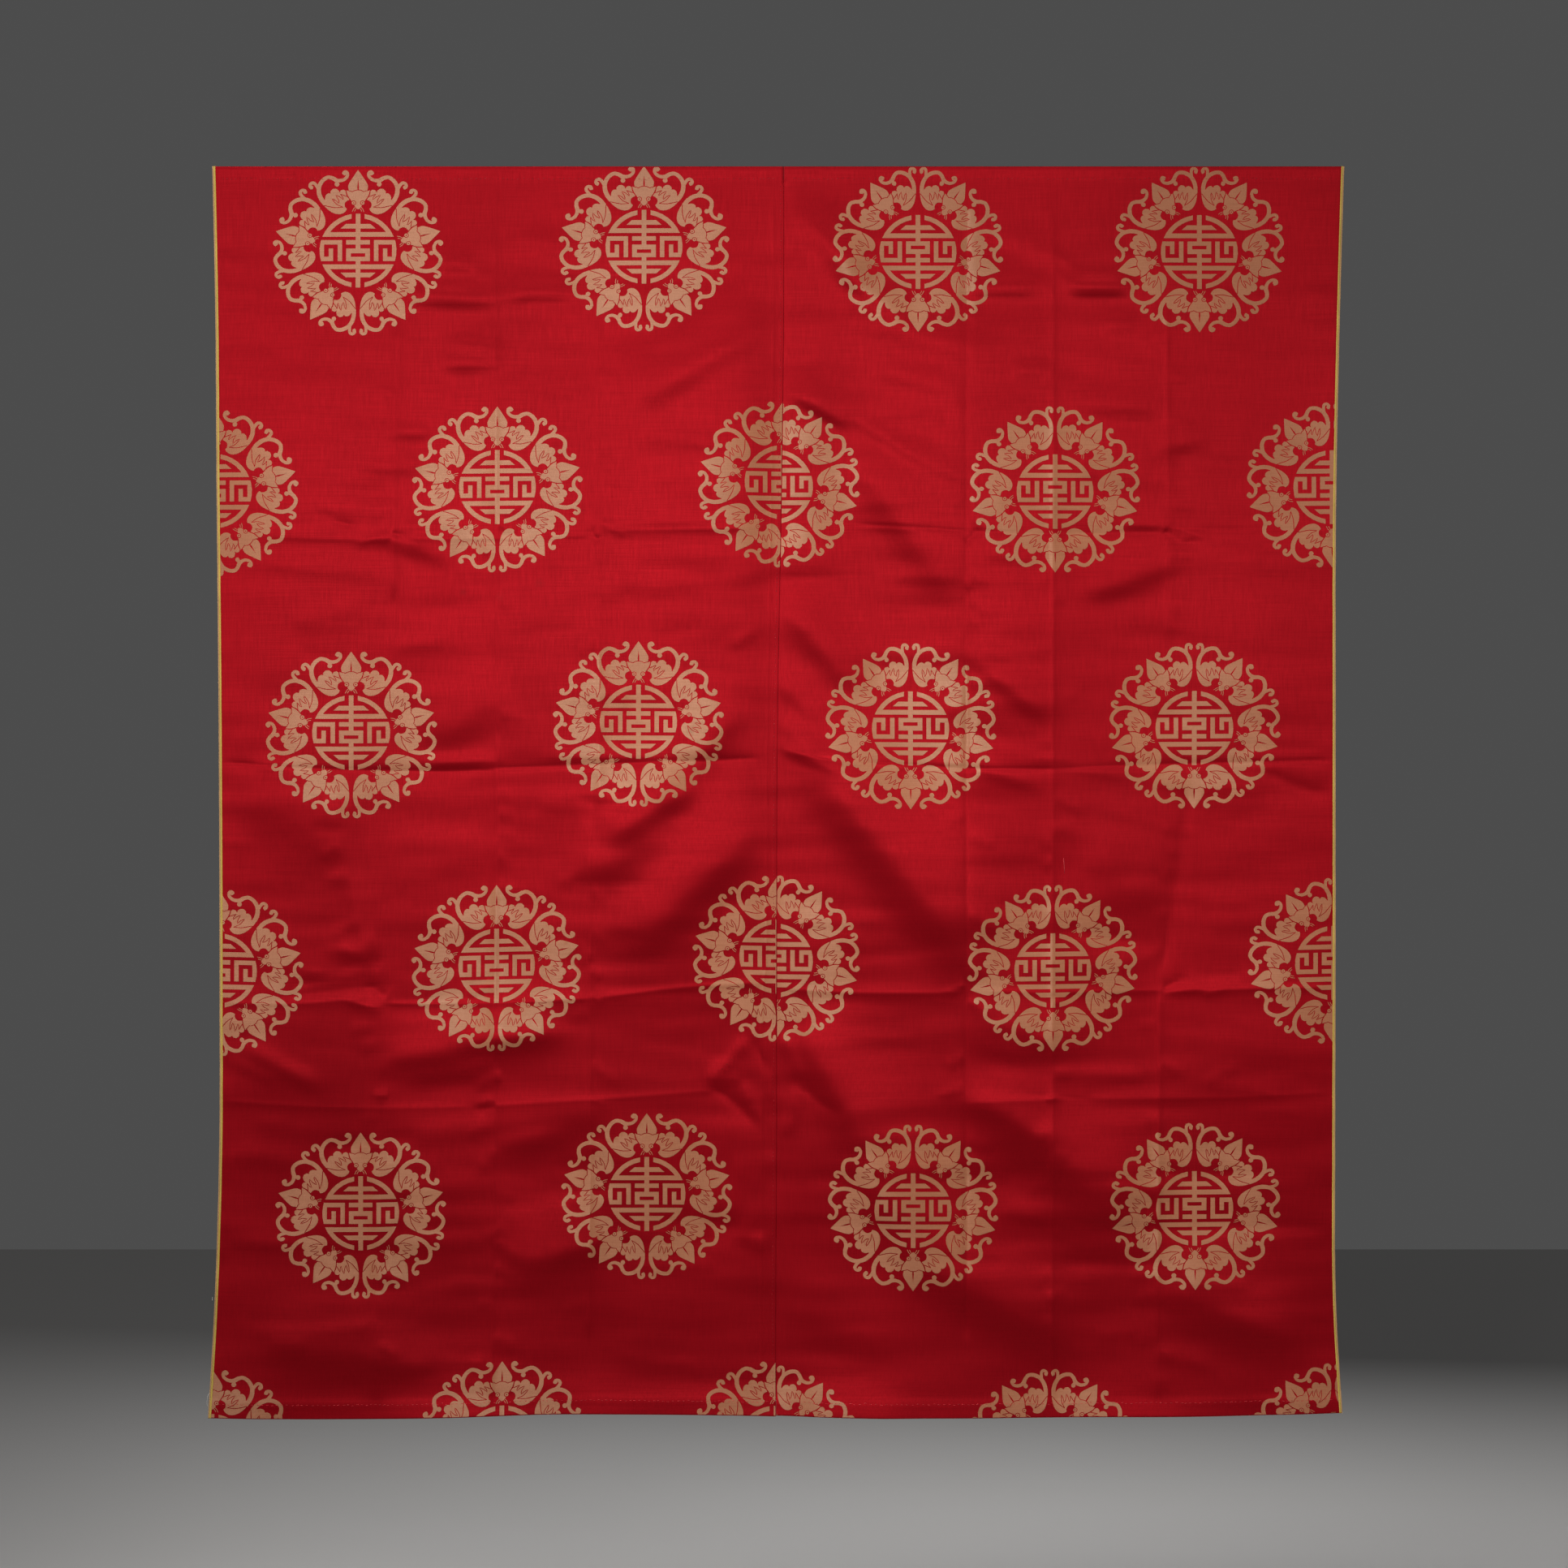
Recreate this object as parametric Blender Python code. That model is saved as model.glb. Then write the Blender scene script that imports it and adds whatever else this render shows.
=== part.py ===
"""A silk panel as it hangs: two loom widths of red satin, lapped and sewn down the middle.

Metres, +Z up. The panel faces -Y. The origin is the middle of its top edge.
Across is X. Drop is the distance down from the top edge, so Z is minus the drop.
"""

import math
from collections import namedtuple

import bpy
import numpy as np

# The cloth and its turned edges
HEIGHT = 1.655
SHEET = 0.0012
LAYER_GAP = 0.0006
TURN_RADIUS = (SHEET + LAYER_GAP) / 2
FOLD_REACH = TURN_RADIUS + SHEET / 2
TOP_HEM = 0.018
BOTTOM_HEM = 0.020
TURN_STEPS = 3

# The lapped seam: the left width is turned under and lies over the right width's edge
ALLOWANCE = 0.012
FLAP_CLEAR_OF_HEM = 0.004
LAP_GAP = 0.0004
SEAM_GAP = 0.0004
LAP_BACK = 2 * TURN_RADIUS + SHEET + LAP_GAP
# Where the right width leaves its own plane and goes behind the turned edge.
# Each pair is the distance right of the seam's edge, and the share of the way back.
LAP_STEPS = ((0.0110, 0.0), (0.0060, 0.10), (0.0028, 0.42), (0.0008, 0.84), (-0.0018, 1.0))

# Grid of the solids
GRID_STEP = 0.046
CREASE_SIDE = 0.009

# Each edge's place at stations down the panel
Outline = namedtuple("Outline", "drop left seam right")
OUTLINE = (
    Outline(0.000, -0.7500, 0.0075, 0.7500),
    Outline(0.210, -0.7455, 0.0072, 0.7435),
    Outline(0.420, -0.7435, 0.0045, 0.7385),
    Outline(0.750, -0.7405, -0.0010, 0.7370),
    Outline(1.070, -0.7390, -0.0022, 0.7365),
    Outline(1.290, -0.7390, -0.0022, 0.7360),
    Outline(1.500, -0.7445, -0.0032, 0.7370),
    Outline(HEIGHT, -0.7520, -0.0032, 0.7446),
)

# How much lower the cloth hangs across each width, at the bottom hem
Sag = namedtuple("Sag", "share left right")
SAG = (
    Sag(0.00, 0.001, 0.000),
    Sag(0.20, -0.003, 0.001),
    Sag(0.40, -0.003, 0.003),
    Sag(0.60, 0.002, 0.001),
    Sag(0.82, 0.005, -0.001),
    Sag(1.00, 0.001, -0.005),
)

# Creases left by the way the panel was folded away
LEVEL_CREASES = (0.172, 0.484, 0.791, 1.092, 1.237, 1.393)
UPRIGHT_CREASES = {"left": (0.241, 0.379, 0.528), "right": (0.250, 0.366, 0.516)}
CREASE_HEIGHT = 0.0016
CREASE_HALF_WIDTH = 0.0065

# Drag folds, from the left end to the right end, with the falls above and below the crest
Fold = namedtuple("Fold", "name x0 drop0 x1 drop1 height above below")
FOLDS = (
    Fold("upper swag", 0.092, 0.362, 0.240, 0.575, 0.007, 0.055, 0.027),
    Fold("small swag", 0.245, 0.640, 0.365, 0.735, 0.004, 0.030, 0.014),
    Fold("middle swag", -0.006, 0.570, 0.110, 0.695, 0.006, 0.035, 0.020),
    Fold("deep swag", 0.020, 0.745, 0.280, 1.078, 0.015, 0.070, 0.038),
    Fold("lower swag", 0.026, 1.130, 0.130, 1.312, 0.011, 0.055, 0.028),
    Fold("swag behind the circle", 0.088, 1.270, 0.202, 1.465, 0.007, 0.050, 0.030),
    Fold("foot swag", 0.158, 1.428, 0.404, 1.563, 0.011, 0.060, 0.032),
    Fold("far foot swag", 0.486, 1.471, 0.702, 1.560, 0.008, 0.055, 0.032),
    Fold("swag by the crease", 0.250, 1.208, 0.478, 1.402, 0.010, 0.060, 0.034),
    Fold("swag above the crease", 0.235, 1.105, 0.415, 1.178, 0.005, 0.050, 0.030),
    Fold("top swag", 0.014, 0.060, 0.170, 0.270, 0.004, 0.045, 0.028),
    Fold("rise to the edge", 0.395, 0.568, 0.535, 0.524, 0.004, 0.035, 0.016),
    Fold("far slack", 0.395, 0.915, 0.520, 0.962, 0.004, 0.050, 0.032),
    Fold("left shoulder of the swag", -0.130, 0.805, -0.045, 0.706, 0.005, 0.050, 0.022),
    Fold("left swag", -0.236, 0.898, -0.098, 0.804, 0.008, 0.050, 0.020),
    Fold("left swag tail", -0.268, 0.945, -0.142, 0.875, 0.005, 0.040, 0.026),
    Fold("second left swag", -0.208, 1.050, -0.016, 0.858, 0.010, 0.055, 0.032),
    Fold("left lower swag", -0.382, 1.304, -0.218, 1.242, 0.005, 0.050, 0.026),
    Fold("inner foot", -0.362, 1.466, -0.222, 1.419, 0.006, 0.055, 0.027),
    Fold("shoulder slack", -0.527, 0.483, -0.420, 0.526, 0.004, 0.040, 0.016),
    Fold("elbow slack", -0.475, 0.765, -0.355, 0.690, 0.004, 0.050, 0.030),
    Fold("knee slack", -0.532, 1.176, -0.272, 1.141, 0.008, 0.050, 0.026),
    Fold("edge slack", -0.720, 0.820, -0.560, 0.900, 0.004, 0.060, 0.040),
    Fold("left foot", -0.700, 1.545, -0.440, 1.578, 0.006, 0.055, 0.034),
    Fold("shoulder fold", -0.230, 0.335, -0.030, 0.215, 0.003, 0.055, 0.036),
)

# Slow waves in the hanging cloth: height, wavelength across, lean down the panel, start
Wave = namedtuple("Wave", "height across lean start")
WAVES = (
    Wave(0.0050, 0.47, 2.1, 0.9),
    Wave(0.0032, 0.31, -3.3, 2.2),
)
STAND_OFF = 0.0080
RAMP_START, RAMP_LENGTH = 0.022, 0.420
SEAM_HOLD, SEAM_HOLD_WIDTH = 0.70, 0.034

RED_SILK = (0.42, 0.008, 0.018, 1.0)
SILK_ROUGHNESS = 0.42


def curve_at(stations, values, at):
    """Values of a smooth curve through the stations."""
    stations, values = np.asarray(stations, float), np.asarray(values, float)
    slopes = np.gradient(values, stations)
    i = np.clip(np.searchsorted(stations, at) - 1, 0, len(stations) - 2)
    span = stations[i + 1] - stations[i]
    s = np.clip((at - stations[i]) / span, 0, 1)
    rise = s * s * (3 - 2 * s)
    return (
        values[i] * (1 - rise)
        + values[i + 1] * rise
        + slopes[i] * span * s * (1 - s) ** 2
        - slopes[i + 1] * span * s * s * (1 - s)
    )


def outline_at(edge, drop):
    """Where the left edge, the seam or the right edge is at this drop."""
    return curve_at([o.drop for o in OUTLINE], [getattr(o, edge) for o in OUTLINE], drop)


def smooth_step(t):
    t = np.clip(t, 0, 1)
    return t * t * (3 - 2 * t)


def fold_swell(x, drop, fold):
    """A tapered ridge that falls off faster below its crest than above it."""
    run, fall = fold.x1 - fold.x0, fold.drop1 - fold.drop0
    length = math.hypot(run, fall)
    along = ((x - fold.x0) * run + (drop - fold.drop0) * fall) / length**2
    aside = ((x - fold.x0) * fall - (drop - fold.drop0) * run) / length
    taper = np.exp(-(((along - 0.5) / 0.40) ** 4))
    side = np.where(aside > 0, fold.above, fold.below)
    return fold.height * taper * np.exp(-((aside / side) ** 2))


def crease_ridge(distance):
    return CREASE_HEIGHT * np.exp(-((distance / CREASE_HALF_WIDTH) ** 2))


def swell(x, drop):
    """How far the cloth stands forward of its flat plane."""
    seam = outline_at("seam", drop)
    total = STAND_OFF + sum(fold_swell(x, drop, fold) for fold in FOLDS)
    for wave in WAVES:
        phase = 2 * math.pi * x / wave.across + wave.lean * drop + wave.start
        total = total + wave.height * np.cos(phase)
    total = total * (1 - SEAM_HOLD * np.exp(-(((x - seam) / SEAM_HOLD_WIDTH) ** 2)))
    for level in LEVEL_CREASES:
        total = total + crease_ridge(drop - level)
    for side, away in (("left", -1), ("right", 1)):
        for distance in UPRIGHT_CREASES[side]:
            total = total + crease_ridge(x - (seam + away * distance))
    return total * smooth_step((drop - RAMP_START) / RAMP_LENGTH)


def grid_lines(stations, creases):
    """Positions from the first station to the last, with a line on each crease and close on both sides."""
    fixed = sorted([*stations, *creases])
    lines = []
    for start, end in zip(fixed, fixed[1:]):
        near_start = start + CREASE_SIDE if start in creases else start
        near_end = end - CREASE_SIDE if end in creases else end
        steps = max(1, math.ceil((near_end - near_start) / GRID_STEP))
        lines.append(start)
        inner = [near_start + (near_end - near_start) * k / steps for k in range(steps + 1)]
        lines.extend(p for p in inner if start < p < end)
    lines.append(fixed[-1])
    return lines


Row = namedtuple("Row", "drop back kind")


def hem_rows():
    """The cloth's path: up the back of the top hem, down the front, and up the back of the bottom hem.

    back is how far the middle of the layer lies behind the front layer.
    """
    turns = [math.pi * k / TURN_STEPS for k in range(1, TURN_STEPS)]
    rows = [Row(TOP_HEM, 2 * TURN_RADIUS, "hem"), Row(FOLD_REACH, 2 * TURN_RADIUS, "hem")]
    for turn in reversed(turns):
        drop = FOLD_REACH - TURN_RADIUS * math.sin(turn)
        rows.append(Row(drop, TURN_RADIUS * (1 - math.cos(turn)), "hem"))
    flap_top, flap_bottom = TOP_HEM + FLAP_CLEAR_OF_HEM, HEIGHT - BOTTOM_HEM - FLAP_CLEAR_OF_HEM
    rows.append(Row(FOLD_REACH, 0.0, "hem"))
    rows.append(Row(TOP_HEM, 0.0, "hem"))
    for drop in grid_lines((flap_top, flap_bottom), LEVEL_CREASES):
        rows.append(Row(drop, 0.0, "body"))
    rows.append(Row(HEIGHT - BOTTOM_HEM, 0.0, "hem"))
    rows.append(Row(HEIGHT - FOLD_REACH, 0.0, "hem"))
    for turn in turns:
        drop = HEIGHT - FOLD_REACH + TURN_RADIUS * math.sin(turn)
        rows.append(Row(drop, TURN_RADIUS * (1 - math.cos(turn)), "hem"))
    rows.append(Row(HEIGHT - FOLD_REACH, 2 * TURN_RADIUS, "hem"))
    rows.append(Row(HEIGHT - BOTTOM_HEM, 2 * TURN_RADIUS, "hem"))
    return rows


def place(x, row, back, side):
    """The point of the hung cloth at x on this row, with this much depth behind the front layer."""
    edge = outline_at(side, row.drop)
    seam = outline_at("seam", row.drop)
    share = np.clip((x - seam) / (edge - seam), 0, 1)
    sag = curve_at([s.share for s in SAG], [getattr(s, side) for s in SAG], share)
    drop = row.drop + sag * smooth_step(row.drop / HEIGHT)
    return (x, back - TURN_RADIUS - float(swell(x, row.drop)), -drop)


def across_lines(side):
    """Shares of the way from the edge of the seam's lap to the outer edge."""
    width = abs(outline_at(side, 0.0) - outline_at("seam", 0.0))
    first = LAP_STEPS[0][0]
    creases = UPRIGHT_CREASES[side]
    return [(line - first) / (width - first) for line in grid_lines((first, width), creases)]


def left_columns(row, shares):
    """(x, back) of each point of one row of the left width, from its outer edge to its raw edge."""
    edge, seam = outline_at("left", row.drop), outline_at("seam", row.drop)
    start = seam - LAP_STEPS[0][0]
    columns = [(start + (edge - start) * share, 0.0) for share in reversed(shares)]
    if row.kind == "hem":
        return [*columns, (seam, 0.0)]
    columns.append((seam - FOLD_REACH, 0.0))
    for k in range(1, TURN_STEPS):
        turn = math.pi * k / TURN_STEPS
        x = seam - FOLD_REACH + TURN_RADIUS * math.sin(turn)
        columns.append((x, TURN_RADIUS * (1 - math.cos(turn))))
    columns.append((seam - FOLD_REACH, 2 * TURN_RADIUS))
    columns.append((seam - ALLOWANCE, 2 * TURN_RADIUS))
    return columns


def right_columns(row, shares):
    """(x, back) of each point of one row of the right width, from its outer edge to its raw edge."""
    edge, seam = outline_at("right", row.drop), outline_at("seam", row.drop)
    start = seam + LAP_STEPS[0][0]
    columns = [(start + (edge - start) * share, 0.0) for share in reversed(shares)]
    if row.kind == "hem":
        return [*columns, (seam + LAP_STEPS[1][0], 0.0), (seam + SEAM_GAP, 0.0)]
    columns += [(seam + away, LAP_BACK * share) for away, share in LAP_STEPS[1:]]
    return [*columns, (seam - ALLOWANCE, LAP_BACK)]


def cloth(name, side, columns_of, material):
    """One loom width as a sheet with its hems and its seam edge, thickened to both sides of its middle."""
    rows, shares = hem_rows(), across_lines(side)
    points, faces, before = [], [], []
    for row in rows:
        this = []
        for x, back in columns_of(row, shares):
            this.append(len(points))
            points.append(place(x, row, row.back + back, side))
        for k in range(min(len(this), len(before)) - 1):
            faces.append((before[k], before[k + 1], this[k + 1], this[k]))
        before = this
    mesh = bpy.data.meshes.new(name)
    mesh.from_pydata(points, [], faces)
    mesh.materials.append(material)
    mesh.shade_smooth()
    obj = bpy.data.objects.new(name, mesh)
    bpy.context.scene.collection.objects.link(obj)
    thick = obj.modifiers.new("thickness", "SOLIDIFY")
    thick.thickness = SHEET
    thick.offset = 0.0
    thick.use_even_offset = True
    return obj


def silk_material():
    material = bpy.data.materials.new("red_silk_satin")
    material.use_nodes = True
    shader = material.node_tree.nodes["Principled BSDF"]
    shader.inputs["Base Color"].default_value = RED_SILK
    shader.inputs["Roughness"].default_value = SILK_ROUGHNESS
    shader.inputs["Metallic"].default_value = 0.0
    return material


def main():
    for obj in list(bpy.data.objects):
        bpy.data.objects.remove(obj)
    silk = silk_material()
    cloth("left_width", "left", left_columns, silk)
    cloth("right_width", "right", right_columns, silk)


main()
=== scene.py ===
"""Looks of a hanging silk panel: two loom widths of red satin with a woven bronze figure.

Metres, +Z up, the patterned face towards -Y. The origin is the middle of the top edge.
Across is X. Drop is the distance down from the top edge.
"""

import math
from collections import namedtuple

import bpy
import numpy as np
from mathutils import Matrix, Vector
from mathutils.geometry import delaunay_2d_cdt


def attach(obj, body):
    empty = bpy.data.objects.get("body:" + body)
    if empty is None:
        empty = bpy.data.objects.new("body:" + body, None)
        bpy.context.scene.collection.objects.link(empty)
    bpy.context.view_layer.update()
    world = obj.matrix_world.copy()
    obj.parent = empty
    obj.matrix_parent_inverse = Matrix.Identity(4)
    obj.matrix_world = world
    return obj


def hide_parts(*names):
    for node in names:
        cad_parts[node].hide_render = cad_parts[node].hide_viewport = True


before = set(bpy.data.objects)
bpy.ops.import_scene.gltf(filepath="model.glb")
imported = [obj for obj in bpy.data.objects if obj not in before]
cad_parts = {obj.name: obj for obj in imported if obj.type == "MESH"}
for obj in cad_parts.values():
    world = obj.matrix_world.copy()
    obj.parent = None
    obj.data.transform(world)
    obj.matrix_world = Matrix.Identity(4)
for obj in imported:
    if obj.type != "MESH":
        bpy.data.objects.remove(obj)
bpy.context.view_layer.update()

# The hung cloth, as the solids have it
HEIGHT = 1.655
TURN_RADIUS = 0.0009
FOLD_REACH = 0.0015
TOP_HEM = 0.018
BOTTOM_HEM = 0.020
TURN_STEPS = 5
ALLOWANCE = 0.012
FLAP_CLEAR_OF_HEM = 0.004
SEAM_GAP = 0.0004
SEAM_TURN, SEAM_REACH = 0.0005, 0.0009
LAP_BACK = 0.0016
RIDGE_REACH = 0.0136
RIDGE_DRIFT, RIDGE_DRIFT_DROP, RIDGE_DRIFT_LENGTH = 0.0060, 1.04, 0.08
RIDGE_HEIGHT, RIDGE_HALF, RIDGE_FADE = 0.00034, 0.0014, 0.05
RIDGE_COLUMNS = (0.0030, 0.0013, 0.0, -0.0013, -0.0030)
TURN_COLUMNS = (0.0078, 0.0046)
HEM_RIDGE, HEM_RIDGE_HALF = 0.0005, 0.0022
EDGE_ROW = 0.0010
LAP_START = {"left": 0.0250, "right": 0.0110}
LAP_STEPS = ((0.0060, 0.26), (0.0028, 0.60), (0.0008, 0.88), (-0.0018, 1.0))
HEADING_LEAN = 0.0014

Outline = namedtuple("Outline", "drop left seam right")
OUTLINE = (
    Outline(0.000, -0.7500, 0.0075, 0.7500),
    Outline(0.210, -0.7455, 0.0072, 0.7435),
    Outline(0.420, -0.7435, 0.0045, 0.7385),
    Outline(0.750, -0.7405, -0.0010, 0.7370),
    Outline(1.070, -0.7390, -0.0022, 0.7365),
    Outline(1.290, -0.7390, -0.0022, 0.7360),
    Outline(1.500, -0.7445, -0.0032, 0.7370),
    Outline(HEIGHT, -0.7520, -0.0032, 0.7446),
)
Sag = namedtuple("Sag", "share left right")
SAG = (
    Sag(0.00, 0.001, 0.000),
    Sag(0.20, -0.003, 0.001),
    Sag(0.40, -0.003, 0.003),
    Sag(0.60, 0.002, 0.001),
    Sag(0.82, 0.005, -0.001),
    Sag(1.00, 0.001, -0.005),
)

# The tables of folds and creases are in millimetres, from the middle of the top edge.
# A ridge runs from its left end to its right end, and falls off above and below its crest.
# The middle of a crease hangs below the line between its ends by its bow.
Ridge = namedtuple("Ridge", "x0 drop0 x1 drop1 height above below")
Crease = namedtuple("Crease", "x0 drop0 x1 drop1 bow height half")

# Drag folds, as ridges
FOLDS = (
    (92, 362, 240, 575, 7, 55, 27),  # upper swag
    (245, 640, 365, 735, 4, 30, 14),  # small swag
    (-6, 570, 110, 695, 6, 35, 20),  # middle swag
    (20, 745, 280, 1078, 15, 70, 38),  # deep swag
    (26, 1130, 130, 1312, 11, 55, 28),  # lower swag
    (88, 1270, 202, 1465, 7, 50, 30),  # swag behind the circle
    (158, 1428, 404, 1563, 11, 60, 32),  # foot swag
    (486, 1471, 702, 1560, 8, 55, 32),  # far foot swag
    (250, 1208, 478, 1402, 10, 60, 34),  # swag by the crease
    (235, 1105, 415, 1178, 5, 50, 30),  # swag above the crease
    (14, 60, 170, 270, 4, 45, 28),  # top swag
    (395, 568, 535, 524, 4, 35, 16),  # rise to the edge
    (395, 915, 520, 962, 4, 50, 32),  # far slack
    (-130, 805, -45, 706, 5, 50, 22),  # left shoulder of the swag
    (-236, 898, -98, 804, 8, 50, 20),  # left swag
    (-268, 945, -142, 875, 5, 40, 26),  # left swag tail
    (-208, 1050, -16, 858, 10, 55, 32),  # second left swag
    (-382, 1304, -218, 1242, 5, 50, 26),  # left lower swag
    (-362, 1466, -222, 1419, 6, 55, 27),  # inner foot
    (-527, 483, -420, 526, 4, 40, 16),  # shoulder slack
    (-475, 765, -355, 690, 4, 50, 30),  # elbow slack
    (-532, 1176, -272, 1141, 8, 50, 26),  # knee slack
    (-720, 820, -560, 900, 4, 60, 40),  # edge slack
    (-700, 1545, -440, 1578, 6, 55, 34),  # left foot
    (-230, 335, -30, 215, 3, 55, 36),  # shoulder fold
)
Wave = namedtuple("Wave", "height across lean start")
WAVES = (
    Wave(0.0050, 0.47, 2.1, 0.9),
    Wave(0.0032, 0.31, -3.3, 2.2),
)
STAND_OFF = 0.0080
RAMP_START, RAMP_LENGTH = 0.022, 0.420
SEAM_HOLD, SEAM_HOLD_WIDTH = 0.70, 0.034

# Sharp creases of the folded-away cloth
LEVEL_CREASES = (
    (-745, 168, -30, 172, 2, 0.5, 6),
    (20, 174, 735, 172, 0, 0.3, 6),
    (-690, 490, -500, 494, 2, 0.5, 4.8),
    (-510, 492, -220, 489, 3, 0.8, 4.8),
    (-240, 484, -20, 480, 1, 0.8, 4.8),
    (92, 474, 262, 486, -1, -1.3, 4.8),
    (250, 485, 520, 486, 1, -0.9, 4.8),
    (515, 482, 740, 486, -2, -0.8, 4.8),
    (-742, 789, -370, 800, 4, -1.4, 4.8),
    (-390, 799, -20, 784, 2, -1.3, 4.8),
    (2, 772, 130, 793, 4, 1.2, 4.2),
    (100, 789, 380, 798, 3, -1.6, 4.8),
    (360, 798, 737, 790, -2, -1.3, 4.8),
    (-742, 1108, -530, 1096, 4, 0.8, 4.8),
    (-530, 1106, -240, 1104, 4, 1.4, 4.8),
    (-250, 1106, -10, 1082, -3, 1.3, 4.8),
    (2, 1090, 250, 1092, 4, 1, 4.8),
    (262, 1090, 520, 1092, 2, 0.9, 4.8),
    (510, 1096, 737, 1092, -3, 1, 4.8),
    (-742, 1237, -400, 1246, 2, 0.5, 4.8),
    (-400, 1246, -60, 1224, 3, 0.6, 4.8),
    (240, 1240, 400, 1234, -2, 0.6, 4.8),
    (380, 1234, 735, 1230, 3, 0.5, 4.8),
    (-742, 1434, -480, 1432, 1, -1, 4.8),
    (-250, 1420, -20, 1404, 2, 0.7, 6),
    (10, 1398, 250, 1400, 2, -0.8, 4.8),
    (310, 1388, 400, 1402, 0, 0.9, 4.2),
    (400, 1408, 735, 1410, -2, -1.3, 4.8),
)
# Short folds, as ridges
DINTS = (
    (10, 296, 104, 349, 4.2, 30, 8),
    (84, 325, 202, 400, 2.5, 20, 6),
    (170, 380, 255, 420, 1.6, 20, 9),
    (0, 588, 45, 622, 0.8, 16, 8),
    (-2, 678, 58, 742, 2, 20, 10),
    (-2, 733, 54, 774, 2.2, 18, 11),
    (-4, 764, 90, 806, 2.6, 20, 9),
    (262, 634, 314, 656, 0.8, 14, 6),
    (254, 793, 348, 822, 1.4, 12, 8),
    (370, 796, 465, 808, 1, 10, 7),
    (268, 510, 352, 526, 1.1, 16, 8),
    (135, 545, 255, 549, 1, 12, 6),
    (245, 547, 355, 548, 0.6, 10, 6),
    (135, 339, 225, 342, 1.6, 14, 6),
    (305, 270, 365, 271, 2.9, 14, 9),
    (380, 314, 515, 319, 1.9, 25, 12),
    (425, 211, 475, 211, 2.1, 14, 10),
    (95, 475, 200, 480, 1.1, 12, 6),
    (450, 474, 525, 477, 1.2, 12, 6),
    (245, 1153, 345, 1182, 1.5, 20, 11),
    (240, 1233, 335, 1270, 2.4, 20, 12),
    (305, 1258, 372, 1298, 2, 20, 13),
    (350, 1324, 420, 1331, 0.9, 12, 6),
    (275, 1384, 470, 1388, 2.4, 18, 10),
    (495, 1570, 585, 1590, 1.3, 18, 10),
    (570, 1518, 695, 1563, 1.2, 20, 14),
    (-312, 839, -200, 836, 1.2, 10, 6),
    (-220, 842, -145, 842, 0.8, 10, 6),
    (-480, 792, -360, 787, 2.4, 12, 8),
    (-700, 793, -630, 795, 1.4, 10, 7),
    (-320, 784, -140, 784, 0.9, 10, 6),
    (-505, 175, -360, 178, 4, 20, 10),
    (-365, 170, -262, 168, 3.2, 18, 8),
    (240, 164, 355, 164, 2.9, 18, 7),
    (375, 162, 475, 162, 5.1, 18, 8),
    (-445, 237, -360, 244, 2.9, 14, 6),
    (-455, 262, -350, 262, 3.2, 16, 9),
    (-410, 283, -325, 300, 1.9, 20, 12),
    (-595, 355, -495, 355, 1.2, 12, 7),
    (-515, 354, -455, 354, 2.5, 12, 7),
    (-505, 477, -435, 477, 1, 10, 6),
    (-255, 475, -85, 472, 0.8, 10, 6),
    (-75, 552, -10, 542, 1, 14, 8),
    (-210, 553, -45, 551, 0.6, 10, 6),
    (-515, 641, -415, 614, 0.9, 18, 10),
    (-530, 1181, -410, 1178, 2, 16, 10),
    (-510, 1207, -370, 1193, 2.4, 16, 12),
    (-430, 1170, -280, 1147, 2, 18, 10),
    (-712, 1164, -600, 1220, 2.4, 14, 10),
    (-730, 1182, -650, 1213, 1.2, 12, 8),
    (-735, 1305, -612, 1318, 1.5, 20, 12),
    (-385, 1301, -270, 1289, 1.1, 16, 8),
    (-605, 1036, -530, 1036, 1.6, 14, 9),
    (-60, 1408, -10, 1432, 2.6, 30, 12),
    (-66, 1328, -12, 1346, 1.4, 30, 16),
    (-310, 1450, -230, 1429, 1.3, 20, 12),
    (-730, 1424, -615, 1425, 1.1, 16, 9),
    (-64, 641, -24, 611, 1.2, 10, 5),
    (-1100, 1690, 1100, 1690, 8.5, 105, 20),
    (-1100, 1668, 1100, 1668, 3, 36, 20),
    (-960, 1580, -560, 1640, 3, 120, 60),
    (0, 1496, 175, 1566, 4.2, 60, 32),
    (-240, 1560, -40, 1500, 2, 50, 40),
    (-800, 1668, -655, 1664, 3, 46, 20),
    (-310, 1666, -20, 1668, 4.5, 60, 20),
    (10, 1660, 190, 1672, 6, 80, 20),
    (640, 1668, 790, 1660, 5, 60, 20),
    (-205, 322, 0, 196, 4.8, 45, 22),
    (16, 30, 112, 158, 8, 34, 20),
    (76, 138, 170, 206, 3.2, 20, 9),
    (90, 190, 300, 262, 3.8, 35, 22),
    (110, 262, 250, 300, 2.2, 25, 14),
    (-460, 128, -396, 134, 2.4, 16, 8),
    (-350, 92, -270, 116, 1.9, 20, 12),
    (290, 94, 375, 118, 1.9, 20, 12),
    (500, 378, 580, 352, 1.7, 20, 10),
    (350, 402, 520, 400, 1.3, 16, 9),
    (-200, 352, -60, 372, 1.3, 18, 10),
    (-560, 396, -470, 402, 1.3, 12, 7),
    (-640, 418, -520, 424, 1, 12, 7),
)
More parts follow.
